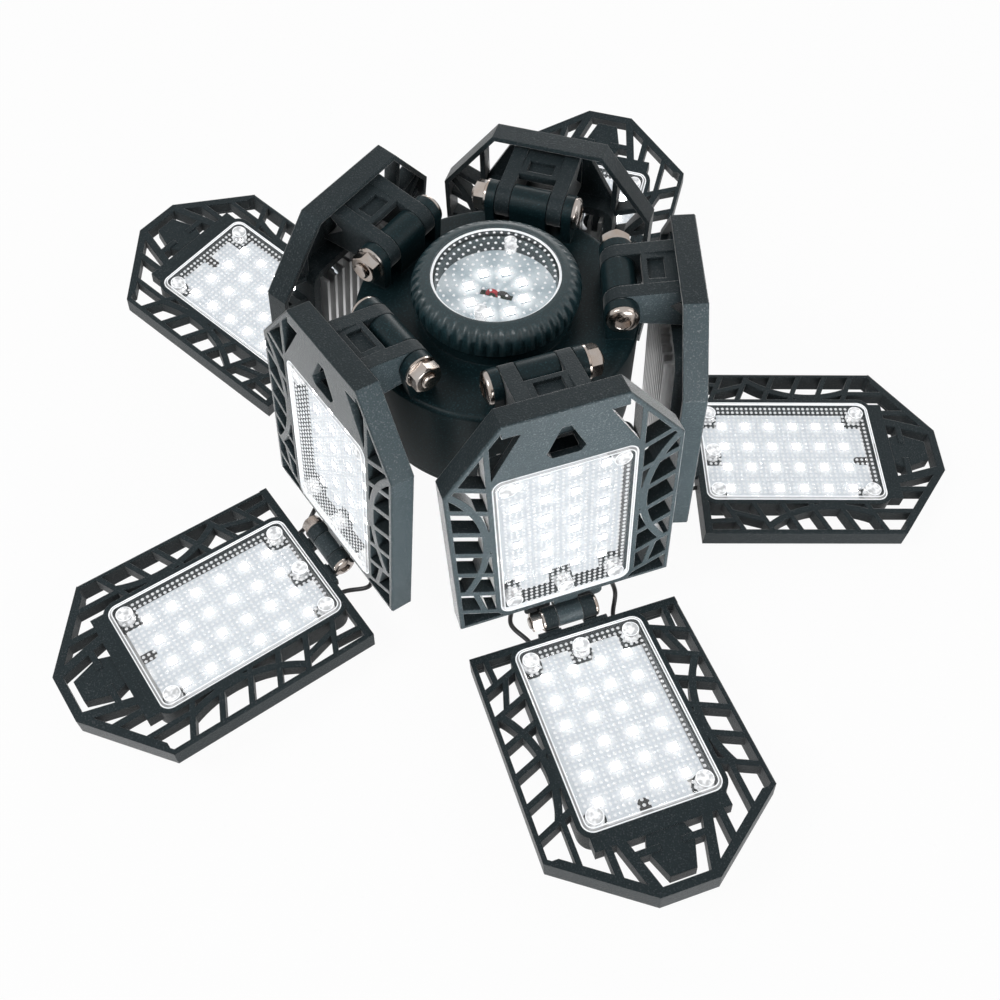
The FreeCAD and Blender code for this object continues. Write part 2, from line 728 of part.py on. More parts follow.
def grip_ring():
    """Rounded ring round the hub's lens, grooved like a tyre on its flank, clamped on the drum."""
    bottom = housing_top + drum_rise
    top = bottom + grip_height
    lip = lens_radius + grip_lip
    flank = grip_outer_radius - lip
    bulge = vector(lip + flank * 0.72, 0, top - grip_height * 0.22)
    seat = lens_radius - 1.4
    curve = Part.Arc(vector(lip, 0, top), bulge, vector(grip_outer_radius, 0, top - grip_height * 0.72))
    rest = Part.makePolygon([
        vector(grip_outer_radius, 0, top - grip_height * 0.72),
        vector(grip_outer_radius - 0.6, 0, bottom),
        vector(seat, 0, bottom),
        vector(seat, 0, lens_z),
        vector(lens_radius + cover_fit, 0, lens_z),
        vector(lens_radius + cover_fit, 0, top),
        vector(lip, 0, top),
    ])
    profile = Part.Face(Part.Wire([curve.toShape()] + rest.Edges))
    body = profile.revolve(vector(0, 0, 0), vector(0, 0, 1), 360)
    grooves = []
    for index in range(grip_groove_count):
        x, y = polar(grip_outer_radius + grip_groove_radius * 0.25, 360.0 * index / grip_groove_count)
        grooves.append(up_cylinder(grip_groove_radius, bottom - 1, top + 1, x, y))
    return body.cut(Part.makeCompound(grooves))


def centre_lens():
    """Clear, slightly domed lens of the hub's own lamp, with two screw bosses on its back."""
    top = lens_z + lens_thickness
    rim_disc = up_cylinder(lens_radius, lens_z, top)
    edge = lens_radius - 2.2
    step = lens_rise * 0.25
    flat = vector(edge * 0.1, 0, top + lens_rise)
    crown = Part.Arc(flat, vector(edge / 2, 0, top + lens_rise * 0.81),
                     vector(edge, 0, top + step)).toShape()
    base = Part.makePolygon([vector(edge, 0, top + step), vector(edge, 0, lens_z + 0.4),
                             vector(0, 0, lens_z + 0.4), vector(0, 0, top + lens_rise), flat])
    profile = Part.Face(Part.Wire([crown] + base.Edges))
    dome = profile.revolve(vector(0, 0, 0), vector(0, 0, 1), 360)
    bosses = []
    for side in (-1, 1):
        x, y = polar(side * (lens_radius - lens_boss_inset), lens_turn)
        bosses.append(up_cylinder(lens_boss_radius, lens_z - 2.0, lens_z + 1, x, y))
    return fuse([rim_disc, dome] + bosses)


def centre_board():
    """Round board of the hub's lamp with its circle of lamps, held inside the drum."""
    top = lens_z - hub_board_depth
    board = up_cylinder(lens_radius - 0.9, top - board_thickness, top)
    lamps = []
    for index in range(hub_led_count):
        x, y = polar(hub_led_circle, lens_turn + 360.0 * index / hub_led_count)
        lamps.append(Part.makeBox(led_size, led_size, led_height + 0.1,
                                  vector(x - led_size / 2, y - led_size / 2, top - 0.1)))
    slot = Part.makeBox(hub_slot_length, hub_slot_width, board_thickness + 2,
                        vector(-hub_slot_length / 2, -hub_slot_width / 2, top - board_thickness - 1))
    slot.rotate(vector(0, 0, 0), vector(0, 0, 1), lens_turn + 90)
    return fuse([board] + lamps).cut(slot)


def driver_board():
    """Supply board on the back cover's posts: transformer, capacitor and rectifier."""
    bottom = driver_board_height
    top = bottom + board_thickness
    board = up_cylinder(driver_board_radius, bottom, top)
    transformer = Part.makeBox(16, 14, 13, vector(-20, -6, top - 0.1))
    capacitor = up_cylinder(5.0, top - 0.1, top + 14, 14, 8)
    choke = up_cylinder(4.0, top - 0.1, top + 10, 12, -12)
    rectifier = Part.makeBox(8, 6, 3.2, vector(-6, -22, top - 0.1))
    return fuse([board, transformer, capacitor, choke, rectifier])


def hub_back_cover():
    """Lower cover: vented disc, neck to the screw shell and the driver board's posts."""
    disc_top = housing_bottom
    disc_bottom = disc_top - cover_thickness
    disc = up_cylinder(housing_radius, disc_bottom, disc_top)
    locating = up_cylinder(housing_radius - housing_wall - cover_fit, disc_bottom, disc_top + 3.0)
    locating = locating.cut(up_cylinder(housing_radius - 2 * housing_wall, disc_bottom - 1, disc_top + 4))
    neck = Part.makeCone(neck_bottom_radius, neck_top_radius, disc_bottom, vector(0, 0, 0), vector(0, 0, 1))
    plug = up_cylinder(shell_radius - shell_wall, -6.0, 1.0)
    posts = []
    for index in range(4):
        x, y = polar(driver_board_radius - 4.5, 45 + 90 * index)
        posts.append(up_cylinder(3.0, disc_bottom + 0.5, driver_board_height, x, y))
    solid = fuse([disc, locating, neck, plug] + posts)
    hollow = Part.makeCone(neck_bottom_radius - 5, neck_top_radius - housing_wall, disc_top + 0.6,
                           vector(0, 0, -0.5), vector(0, 0, 1))
    bore = up_cylinder(shell_radius - 3.5, -8, 1)
    vents = []
    for index in range(vent_count):
        reach = (neck_top_radius + housing_radius) / 2 + 1.5
        vent = Part.makeBox(vent_length, vent_width, cover_thickness + 2,
                            vector(reach - vent_length / 2, -vent_width / 2, disc_bottom - 1))
        vent.rotate(vector(0, 0, 0), vector(0, 0, 1), 360.0 * (index + 0.5) / vent_count)
        vents.append(vent)
    return solid.cut(hollow.fuse(bore)).cut(Part.makeCompound(vents))


def screw_shell():
    """Metal shell of the base, drawn at its outer thread size, crimped onto the plug."""
    outer = up_cylinder(shell_radius, -shell_length, 0)
    edges = [edge for edge in outer.Edges if abs(edge.BoundBox.ZMax + shell_length) < 0.01]
    outer = outer.makeChamfer(1.6, edges)
    inner = up_cylinder(shell_radius - shell_wall, -shell_length + shell_wall + 1.4, 1)
    return outer.cut(inner).cut(up_cylinder(shell_radius - 3.2, -shell_length - 1, 0))


def base_insulator():
    """Insulating cone that fills the shell's end."""
    seat = shell_radius - 3.2
    collar = up_cylinder(seat - cover_fit, -shell_length, -shell_length + 5.0)
    flange = up_cylinder(shell_radius - shell_wall - cover_fit, -shell_length + 2.0, -shell_length + 6.0)
    cone = Part.makeCone(insulator_end_radius, seat - cover_fit, insulator_length,
                         vector(0, 0, -shell_length - insulator_length), vector(0, 0, 1))
    tip = -shell_length - insulator_length
    contact = up_cylinder(contact_radius, tip - contact_height, tip + 0.5)
    edges = [edge for edge in contact.Edges if abs(edge.BoundBox.ZMax - tip + contact_height) < 0.01]
    return fuse([flange, collar, cone, contact.makeFillet(contact_height * 0.7, edges)])


def shoulder_bolts():
    bolt = cross_cylinder(shoulder_bolt, -shoulder_half - 0.5, shoulder_half + shoulder_nut_height + 1.2)
    bolt = fuse([bolt, round_head(shoulder_head, shoulder_head_height, -shoulder_half, -1)])
    return Part.makeCompound([on_hub(bolt, wing) for wing in range(wing_count)])


def shoulder_nuts():
    nut = hex_nut(shoulder_nut, shoulder_nut_height, shoulder_half, 1, shoulder_bolt)
    return Part.makeCompound([on_hub(nut, wing) for wing in range(wing_count)])


def write(name, shape):
    shape.exportStep("parts/" + name + ".step")


def write_hub():
    write("hub_housing", hub_housing())
    write("hub_back_cover", hub_back_cover())
    write("grip_ring", grip_ring())
    write("centre_lens", centre_lens())
    write("centre_board", centre_board())
    write("driver_board", driver_board())
    write("screw_shell", screw_shell())
    write("base_insulator", base_insulator())
    write("hub_hinge_bolts", shoulder_bolts())
    write("hub_hinge_nuts", shoulder_nuts())


def write_wings():
    inner_place = (inner_bottom - cover_margin - cover_length, face_reach, False)
    outer_place = (elbow_setback + cover_margin, -elbow_proud, True)
    inner_pieces = {
        "inner_frame": inner_frame(),
        "inner_lens": panel_cover(*inner_place),
        "inner_board": panel_board(*inner_place),
        "inner_heat_sink": panel_heat_sink(*inner_place),
    }
    outer_pieces = {
        "outer_frame": outer_frame(),
        "outer_lens": panel_cover(*outer_place),
        "outer_board": panel_board(*outer_place),
        "outer_heat_sink": panel_heat_sink(*outer_place),
        "elbow_bolt": elbow_bolt(),
    }
    for wing in range(wing_count):
        number = "_" + str(wing + 1)
        for name, shape in inner_pieces.items():
            write(name + number, on_inner(shape, wing))
        for name, shape in outer_pieces.items():
            write(name + number, on_outer(shape, wing))
        write("elbow_wires" + number, on_inner(elbow_wires(wing), wing))


write_hub()
write_wings()
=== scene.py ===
"""Looks of a deformable garage light: a round hub with a screw base and five folding wings.

The CAD model is the fixed frame. This script gives every CAD piece its finish and replaces the
clear covers, the lamp boards, the elbow wires, the bolts and the screw shell with detailed meshes
of the same size. All lengths are metres. A panel's own frame has X out of its lit face, Y across
it and Z up it.
"""

import json
import logging
import math
from dataclasses import dataclass
from enum import Enum, IntEnum
from typing import Iterable, Sequence, Union

import bmesh
import bpy
from mathutils import Matrix, Vector

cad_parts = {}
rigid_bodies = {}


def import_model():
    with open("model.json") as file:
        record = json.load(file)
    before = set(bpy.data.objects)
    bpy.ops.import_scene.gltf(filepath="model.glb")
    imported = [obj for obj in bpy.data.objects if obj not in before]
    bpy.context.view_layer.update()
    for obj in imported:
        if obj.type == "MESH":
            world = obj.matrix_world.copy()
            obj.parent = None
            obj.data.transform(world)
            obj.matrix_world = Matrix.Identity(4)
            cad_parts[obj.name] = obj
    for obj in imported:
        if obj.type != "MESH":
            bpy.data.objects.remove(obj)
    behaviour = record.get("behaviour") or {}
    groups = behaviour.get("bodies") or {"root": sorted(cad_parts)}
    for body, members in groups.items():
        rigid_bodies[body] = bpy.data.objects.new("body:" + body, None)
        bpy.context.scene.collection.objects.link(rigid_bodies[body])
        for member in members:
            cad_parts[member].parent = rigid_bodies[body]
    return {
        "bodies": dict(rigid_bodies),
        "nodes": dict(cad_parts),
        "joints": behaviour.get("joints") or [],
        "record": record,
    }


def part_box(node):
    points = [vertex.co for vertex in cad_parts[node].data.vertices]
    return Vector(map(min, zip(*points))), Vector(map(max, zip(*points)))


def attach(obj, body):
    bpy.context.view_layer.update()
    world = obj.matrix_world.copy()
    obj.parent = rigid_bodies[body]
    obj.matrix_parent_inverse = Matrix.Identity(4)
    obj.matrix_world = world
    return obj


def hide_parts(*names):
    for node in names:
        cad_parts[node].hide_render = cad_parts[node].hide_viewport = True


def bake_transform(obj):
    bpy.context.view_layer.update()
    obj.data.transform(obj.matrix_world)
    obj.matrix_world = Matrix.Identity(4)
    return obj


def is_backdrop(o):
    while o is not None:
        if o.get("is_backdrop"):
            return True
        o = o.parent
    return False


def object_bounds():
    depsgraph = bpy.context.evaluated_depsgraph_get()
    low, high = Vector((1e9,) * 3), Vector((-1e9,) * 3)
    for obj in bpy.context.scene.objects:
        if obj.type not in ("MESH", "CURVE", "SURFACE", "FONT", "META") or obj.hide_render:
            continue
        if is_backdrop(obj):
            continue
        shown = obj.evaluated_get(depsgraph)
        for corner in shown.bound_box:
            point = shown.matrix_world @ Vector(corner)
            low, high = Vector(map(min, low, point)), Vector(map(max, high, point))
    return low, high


LOG = logging.getLogger("garage_light")
MM = 0.001
NEAR_ZERO = 0.01 * MM
BMesh = bmesh.types.BMesh
Colour = tuple[float, float, float, float]
Input = Union["Value", float]


class Half(Enum):
    """The two panels of a wing."""

    INNER = "inner"
    OUTER = "outer"


class Glass(IntEnum):
    """Slots of a clear cover's finishes."""

    FLAT = 0
    DOTS = 1
    RIDGE = 2
    RIM = 3
    SCREW = 4
    BOSS = 5
    SIDE = 6


class Board(IntEnum):
    """Slots of a lamp board's finishes, after the plate's own."""

    LIT = 1
    BACKING = 2


# ---- shader writing ----------------------------------------------------------------------------
class Value:
    """A shader socket whose Python operators add Math nodes."""

    def __init__(self, tree: "Tree", socket: bpy.types.NodeSocket) -> None:
        """Wraps one output socket of a node tree."""
        self.tree = tree
        self.socket = socket

    def apply(self, operation: str, *others: Input, clamp: bool = False) -> "Value":
        """Adds a Math node that takes this value and the others, in order."""
        settings = {"operation": operation, "use_clamp": clamp}
        return self.tree.node("ShaderNodeMath", settings, dict(enumerate((self, *others))))

    def __add__(self, other: Input) -> "Value":
        """Sum."""
        return self.apply("ADD", other)

    def __sub__(self, other: Input) -> "Value":
        """Difference."""
        return self.apply("SUBTRACT", other)

    def __mul__(self, other: Input) -> "Value":
        """Product."""
        return self.apply("MULTIPLY", other)

    def clamped(self) -> "Value":
        """The value held between 0 and 1."""
        return self.apply("ADD", 0.0, clamp=True)


class Tree:
    """Node tree of a material or of the world."""

    def __init__(self, owner: Union[bpy.types.Material, bpy.types.World],
                 output: str = "ShaderNodeOutputMaterial") -> None:
        """Empties the owner's nodes and adds its output.

        Args:
            owner: the material or the world.
            output: type of its output node.
        """
        owner.use_nodes = True
        self.owner = owner
        self.links = owner.node_tree.links
        self.nodes = owner.node_tree.nodes
        self.nodes.clear()
        self.output = self.nodes.new(output)

    @classmethod
    def of_material(cls, name: str) -> "Tree":
        """Tree of a new material."""
        return cls(bpy.data.materials.new(name))

    def node(self, kind: str, settings: dict, inputs: dict, output: Union[str, int] = 0) -> Value:
        """Adds a node.

        Args:
            kind: the node's type.
            settings: its own settings, set before its sockets.
            inputs: values or links by socket name or number.
            output: the socket that is returned.

        Returns:
            The chosen output socket.
        """
        made = self.nodes.new(kind)
        for name, setting in settings.items():
            setattr(made, name, setting)
        for name, value in inputs.items():
            if isinstance(value, Value):
                self.links.new(value.socket, made.inputs[name])
            else:
                made.inputs[name].default_value = value
        return Value(self, made.outputs[output])

    def place(self) -> Value:
        """Place in the piece's own coordinates."""
        return self.node("ShaderNodeTexCoord", {}, {}, "Object")

    def parts(self, vector: Value) -> list[Value]:
        """First two parts of a vector."""
        return [self.node("ShaderNodeSeparateXYZ", {}, {"Vector": vector}, axis) for axis in "XY"]

    def noise(self, scale: float, detail: float = 3.0,
              stretch: Sequence[float] = (1, 1, 1)) -> Value:
        """Noise from 0 to 1 at a scale per metre, with each axis stretched first.

        Args:
            scale: waves per metre.
            detail: octaves.
            stretch: how much each axis is scaled first.

        Returns:
            The noise's factor.
        """
        where = self.node("ShaderNodeMapping", {}, {"Vector": self.place(), "Scale": stretch})
        inputs = {"Vector": where, "Scale": scale, "Detail": detail}
        return self.node("ShaderNodeTexNoise", {}, inputs)

    def ramp(self, value: Value, *stops: tuple[float, Colour]) -> Value:
        """Colour ramp over a value, whose stops are each a place and a colour.

        Args:
            value: what the ramp runs over.
            stops: its stops, each a place and a colour.

        Returns:
            The colour.
        """
        shown = self.node("ShaderNodeValToRGB", {}, {"Fac": value})
        elements = shown.socket.node.color_ramp.elements
        while len(elements) < len(stops):
            elements.new(0.5)
        for element, (place, colour) in zip(elements, stops):
            element.position = place
            element.color = colour
        return shown

    def bump(self, height: Value, distance: float, strength: float, edge: float = 0.0) -> Value:
        """Bump normal of a height between 0 and 1.

        Args:
            height: the height.
            distance: how far 1 stands out, in metres.
            strength: how much of it counts.
            edge: radius to which the piece's edges look rounded.

        Returns:
            The normal.
        """
        inputs = {"Height": height, "Distance": distance, "Strength": strength}
        if edge:
            inputs["Normal"] = self.node("ShaderNodeBevel", {"samples": 4}, {"Radius": edge})
        return self.node("ShaderNodeBump", {}, inputs)

    def show(self, surface: Value) -> None:
        """Joins a shader to the output."""
        self.links.new(surface.socket, self.output.inputs["Surface"])

    def finish(self, inputs: dict) -> bpy.types.Material:
        """Adds the surface shader with these inputs and returns the finished material."""
        self.show(self.node("ShaderNodeBsdfPrincipled", {}, inputs))
        return self.owner

    def background_rays(self) -> Value:
        """1 for rays that look at the background: the camera's, reflected and refracted ones.

        Returns:
            The factor.
        """
        kinds = ("Is Camera Ray", "Is Glossy Ray", "Is Transmission Ray")
        camera, glossy, through = (self.node("ShaderNodeLightPath", {}, {}, kind) for kind in kinds)
        return (camera + glossy + through).clamped()


def grey(level: float) -> Colour:
    """Neutral colour of this level."""
    return (level, level, level, 1.0)


def tinted(colour: Sequence[float], *factors: float) -> Colour:
    """The colour with its parts multiplied, all by one factor or each by its own."""
    parts = zip(colour, factors * 3 if len(factors) == 1 else factors)
    return tuple(min(1.0, part * factor) for part, factor in parts) + (1.0,)


# ---- finishes ----------------------------------------------------------------------------------
@dataclass(frozen=True)
class MouldedPlastic:
    """Black moulding with a fine spark-eroded grain and slight wear sheen; the grain's light flecks
    in the base colour are partly painted glints.
    """

    name: str
    # The default colour is the frames', about twice as light as the hub's: partly painted light of
    # the lamps on the frames.
    colour: Colour = (0.0098, 0.0160, 0.0185, 1.0)
    shine: float = 0.16
    roughness: float = 0.5
    grain: float = 1800.0
    grain_depth: float = 0.00018
    edge: float = 0.6 * MM
    grain_glint_speckle: Colour = (0.065, 0.070, 0.076, 1.0)
    sheen: float = 0.0
    ribs: int = 0
    rib_foot: float = 26.2 * MM
    rib_slope: float = 450.0

    def _ribs(self, tree: Tree) -> Value:
        """Ribs round the Z axis, from 0 in their grooves to 1, that fade towards the middle.

        Args:
            tree: the material's tree.

        Returns:
            The ribs' height.
        """
        east, north = tree.parts(tree.place())
        reach = ((east * east + north * north).apply("SQRT") - self.rib_foot) * self.rib_slope
        wave = (north.apply("ARCTAN2", east) * self.ribs).apply("COSINE")
        return (wave * -0.5 + 0.5) * reach.clamped()

    def build(self) -> bpy.types.Material:
        """Makes the material.

        Returns:
            The material.
        """
        tree = Tree.of_material(self.name)
        grain = tree.noise(self.grain, 2.0)
        cloud = tree.noise(38.0)
        # Light flecks of the grain in the base colour: partly grain, partly painted glints of the
        # grain catching the light.
        grain_glint_speck = (tree.noise(self.grain, 1.0) - 0.5).clamped() * 2.6
        height = grain * self.grain_depth * 1000.0
        if self.ribs:
            height = height + self._ribs(tree)
        return tree.finish({
            "Base Color": tree.ramp((cloud * 0.4 + grain_glint_speck).clamped(), (0.0, self.colour),
                                    (0.4, tinted(self.colour, 1.5)), (1.0, self.grain_glint_speckle)),
            "Roughness": cloud * 0.12 + grain * 0.14 + (self.roughness - 0.13),
            "Specular IOR Level": self.shine,
            "Sheen Weight": self.sheen,
            "Sheen Roughness": 0.3,
            "Normal": tree.bump(height, 0.001, 0.8, self.edge),
        })


@dataclass(frozen=True)
class PlatedSteel:
    """Bright plated metal with faint scratches and a warm tint in places."""

    name: str
    colour: Colour = (0.40, 0.37, 0.35, 1.0)
    roughness: float = 0.17

    def build(self) -> bpy.types.Material:
        """Makes the material.

        Returns:
            The material.
        """
        tree = Tree.of_material(self.name)
        scratch = tree.noise(420.0, 2.0, (1, 1, 9))
        warm = tinted(self.colour, 0.92, 0.82, 0.74)
        return tree.finish({
            "Base Color": tree.ramp(tree.noise(160.0), (0.35, self.colour), (0.7, warm)),
            "Metallic": 1.0,
            "Roughness": scratch * 0.14 + (self.roughness - 0.05),
            "Normal": tree.bump(scratch, 0.00003, 0.3),
        })


@dataclass(frozen=True)
class BareAluminium:
    """Extruded aluminium with drawn lines along the fins."""

    name: str

    def build(self) -> bpy.types.Material:
        """Makes the material.

        Returns:
            The material.
        """
        tree = Tree.of_material(self.name)
        lines = tree.noise(700.0, 2.0, (1, 1, 0.06))
        mixed = tree.noise(60.0) * 0.6 + lines * 0.4
        return tree.finish({
            "Base Color": tree.ramp(mixed, (0.3, grey(0.50)), (0.75, grey(0.68))),
            "Metallic": 1.0,
            "Roughness": lines * 0.2 + 0.26,
            "Normal": tree.bump(lines, 0.00006, 0.5),
        })


@dataclass(frozen=True)
class CableJacket:
    """Smooth soft insulation of a thin wire."""

    name: str
    colour: Colour = (0.012, 0.012, 0.013, 1.0)

    def build(self) -> bpy.types.Material:
        """Makes the material.

        Returns:
            The material.
        """
        tree = Tree.of_material(self.name)
        cloud = tree.noise(300.0)
        return tree.finish({
            "Base Color": tree.ramp(cloud, (0.35, self.colour), (0.75, tinted(self.colour, 2.0))),
            "Roughness": cloud * 0.16 + 0.3,
            "Normal": tree.bump(cloud, 0.00005, 0.4),
        })


@dataclass(frozen=True)
class CircuitGreen:
    """Solder-masked supply board."""

    name: str

    def build(self) -> bpy.types.Material:
        """Makes the material.

        Returns:
            The material.
        """
        tree = Tree.of_material(self.name)
        tracks = tree.noise(140.0, 1.0, (1, 0.25, 1))
        dark = (0.01, 0.10, 0.04, 1.0)
        return tree.finish({
            "Base Color": tree.ramp(tracks, (0.45, dark), (0.55, (0.02, 0.17, 0.07, 1.0))),
            "Roughness": tracks * 0.1 + 0.3,
        })


@dataclass(frozen=True)
class ClearMoulding:
    """Clear moulded plastic of the covers, with painted glow: the lamps' light, which the real
    cover carries to its dots, rims, bosses and edges, is painted on as emission.
    """

    name: str
    alpha: float
    glow: float = 0.0
    base: float = 0.3
    shade: float = 0.9

    def build(self) -> bpy.types.Material:
        """Makes the material.

        Returns:
            The material.
        """
        tree = Tree.of_material(self.name)
        ripple = tree.noise(220.0, 2.0)
        shade = tinted(grey(self.shade), 0.96, 1.0, 1.04)
        # Painted glow colour, running from the dim level shade to white and mottled into painted
        # swirls and glints of the lamps' light in the clear plastic.
        tint = tree.ramp(tree.noise(520.0, 1.0), (0.38, shade), (0.62, (0.97, 0.98, 1.0, 1.0)))
        material = tree.finish({
            "Base Color": tree.ramp(ripple, (0.3, grey(self.base)), (0.7, grey(self.base * 1.2))),
            "Roughness": ripple * 0.05 + 0.04,
            "IOR": 1.58,
            "Alpha": self.alpha,
            "Emission Color": tint,
            "Emission Strength": self.glow,
            "Normal": tree.bump(ripple, 0.00008, 0.25),
        })
        material.cycles.emission_sampling = "NONE"
        return material


@dataclass(frozen=True)
class LitBoard:
    """White board whose emission is painted light: a painted pool of the lamps' light round each
    lamp, whose places its UV map counts, and a painted glow between them.
    """

    name: str
    between: Colour = (0.50, 0.535, 0.57, 1.0)
    base: Colour = (0.26, 0.28, 0.30, 1.0)
    falloff: float = -17.0

    def build(self) -> bpy.types.Material:
        """Makes the material.

        Returns:
            The material.
        """
        tree = Tree.of_material(self.name)
        uv = tree.node("ShaderNodeUVMap", {"uv_map": "lamps"}, {})
        across, along = (part.apply("FRACT") - 0.5 for part in tree.parts(uv))
        # near: the painted pool of light round each lamp, fading with the distance from the lamp.
        near = ((across * across + along * along) * self.falloff).apply("EXPONENT")
        mottle = tree.noise(900.0, 2.0)
        return tree.finish({
            "Base Color": self.base,
            "Roughness": mottle * 0.1 + 0.42,
            # Painted glow of the board: the between colour away from the lamps, white close to
            # them.
            "Emission Color": tree.ramp((near + mottle * 0.06).clamped(), (0.06, self.between),
                                        (0.75, grey(1.0))),
            "Emission Strength": 1.0,
        })


@dataclass(frozen=True)
class LampPhosphor:
    """Lit face of a lamp."""

    name: str
    strength: float = 36.0

    def build(self) -> bpy.types.Material:
        """Makes the material.

        Returns:
            The material.
        """
        tree = Tree.of_material(self.name)
        mottle = tree.noise(1500.0, 1.0)
        return tree.finish({
            "Base Color": (0.9, 0.88, 0.7, 1.0),
            "Roughness": mottle * 0.1 + 0.3,
            "Emission Color": tree.ramp(mottle, (0.3, (1.0, 0.98, 0.95, 1.0)), (0.7, grey(1.0))),
            "Emission Strength": self.strength,
        })


class Finishes:
    """All materials of the light, each made once."""

    def __init__(self) -> None:
        """Builds the materials."""
        teal = (0.0048, 0.0130, 0.0155, 1.0)
        # The frames' moulding is about twice as light as the hub's: partly painted light, standing
        # in for the lamps' light on the frames.
        self.moulded = MouldedPlastic("moulded_black", sheen=0.6).build()
        self.hub_moulded = MouldedPlastic("moulded_hub", teal, 0.16, 0.36, 1700.0, 0.00003,
                                          grain_glint_speckle=tinted(teal, 4.0)).build()
        self.grip = MouldedPlastic("moulded_grip", tinted(teal, 1.6), 0.5, 0.36, 1700.0, 0.00003,
                                   grain_glint_speckle=tinted(teal, 5.0), ribs=44).build()
        self.insulator = MouldedPlastic("insulator", (0.008, 0.008, 0.009, 1.0), 0.5, 0.2, 500.0,
                                        0.00002, grain_glint_speckle=grey(0.03)).build()
        self.steel = PlatedSteel("hardware_steel").build()
        self.nickel = PlatedSteel("nickel_shell", (0.68, 0.66, 0.62, 1.0), 0.24).build()
        self.aluminium = BareAluminium("bare_aluminium").build()
        # The boards' emission is painted light of the lamps on them; the hub board's painted glow
        # is dimmer.
        self.board = LitBoard("board_white").build()
        self.hub_board = LitBoard("board_hub", (0.20, 0.25, 0.28, 1.0), (0.30, 0.36, 0.39, 1.0),
                                  -6.0).build()
        self.phosphor = LampPhosphor("lamp_lit").build()
        self.cable = CableJacket("wire_black").build()
        self.red_cable = CableJacket("wire_red", (0.42, 0.01, 0.02, 1.0)).build()
        self.green = CircuitGreen("board_green").build()
        # The covers' glow strengths are painted glow: the dots, ridge, rim, bosses and side walls
        # shine with the lamps' light painted on them.
        self.glass = (
            ClearMoulding("clear_cover", 0.10).build(),
            ClearMoulding("clear_dots", 0.78, 0.72, 0.18).build(),
            ClearMoulding("clear_ridge", 0.55, 0.22).build(),
            ClearMoulding("clear_rim", 0.86, 0.86).build(),
            self.steel,
            ClearMoulding("clear_boss", 0.6, 0.9, 0.3, 0.35).build(),
            ClearMoulding("clear_side", 0.6, 1.6).build(),
        )


# ---- helpers -----------------------------------------------------------------------------------
def dress(obj: bpy.types.Object, material: bpy.types.Material) -> None:
    """Gives an object one material, replacing what it had."""
    obj.data.materials.clear()
    obj.data.materials.append(material)


def new_piece(name: str, shape: BMesh, body: str, materials: Iterable[bpy.types.Material],
              place: Matrix = Matrix.Identity(4), smooth: float = 30.0) -> bpy.types.Object:
    """Turns a bmesh into a piece of the light.

    Args:
        name: the piece's name.
        shape: its mesh, which is freed.
        body: the body it rides on.
        materials: its materials, in slot order.
        place: where it goes, from its own coordinates to the row frame.
        smooth: edges flatter than this many degrees are shaded smooth.

    Returns:
        The new object.
    """
    shape.transform(place)
    mesh = bpy.data.meshes.new(name)
    shape.to_mesh(mesh)
    shape.free()
    obj = bpy.data.objects.new(name, mesh)
    bpy.context.scene.collection.objects.link(obj)
    for material in materials:
        mesh.materials.append(material)
    mesh.shade_smooth()
    mesh.set_sharp_from_angle(angle=math.radians(smooth))
    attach(obj, body)
    LOG.info("%s: %d faces on %s", name, len(mesh.polygons), body)
    return obj


def at(x: float, y: float, z: float) -> Matrix:
    """Shift to a point."""
    return Matrix.Translation((x, y, z))


def add_copy(whole: BMesh, part: BMesh, place: Matrix) -> None:
    """Adds a copy of one mesh, carried to a place, to another.

    Args:
        whole: the mesh that gets the copy.
        part: the mesh that is copied.
        place: where the copy goes.
    """
    carrier = bpy.data.meshes.new("carrier")
    part.to_mesh(carrier)
    carrier.transform(place)
    whole.from_mesh(carrier)
    bpy.data.meshes.remove(carrier)


def block(shape: BMesh, low: Sequence[float], high: Sequence[float]) -> list:
    """Adds a box between two corners and returns its vertices.

    Args:
        shape: the mesh that gets it.
        low: its lowest corner.
        high: its highest corner.

    Returns:
        The box's vertices.
    """
    size = Vector(high) - Vector(low)
    middle = (Vector(high) + Vector(low)) / 2
    matrix = Matrix.Translation(middle) @ Matrix.Diagonal((*size, 1.0))
    return bmesh.ops.create_cube(shape, size=1.0, matrix=matrix)["verts"]


def cone(shape: BMesh, wide: float, narrow: float, depth: float, place: Matrix,
         steps: int = 24) -> list:
    """Adds a cone or cylinder from place, wide end first, along its Z and returns its vertices.

    Args:
        shape: the mesh that gets it.
        wide: its radius where it starts.
        narrow: its radius at its end.
        depth: its length.
        place: where it starts and which way it points.
        steps: sides of its circles.

    Returns:
        Its vertices.
    """
    matrix = place @ at(0, 0, depth / 2)
    return bmesh.ops.create_cone(shape, cap_ends=True, segments=steps, radius1=wide, radius2=narrow,
                                 depth=depth, matrix=matrix)["verts"]


def turned(shape: BMesh, profile: Sequence[tuple[float, float]], steps: int) -> None:
    """Adds a surface turned about Z from radius and height pairs.

    Args:
        shape: the mesh that gets it.
        profile: the pairs, from one end to the other.
        steps: steps of the full turn.
    """
    verts = [shape.verts.new((radius, 0, height)) for radius, height in profile]
    edges = [shape.edges.new(pair) for pair in zip(verts, verts[1:])]
    bmesh.ops.spin(shape, geom=verts + edges, cent=(0, 0, 0), axis=(0, 0, 1), angle=2 * math.pi,
                   steps=steps, use_merge=True)
    bmesh.ops.remove_doubles(shape, verts=shape.verts[:], dist=0.002 * MM)


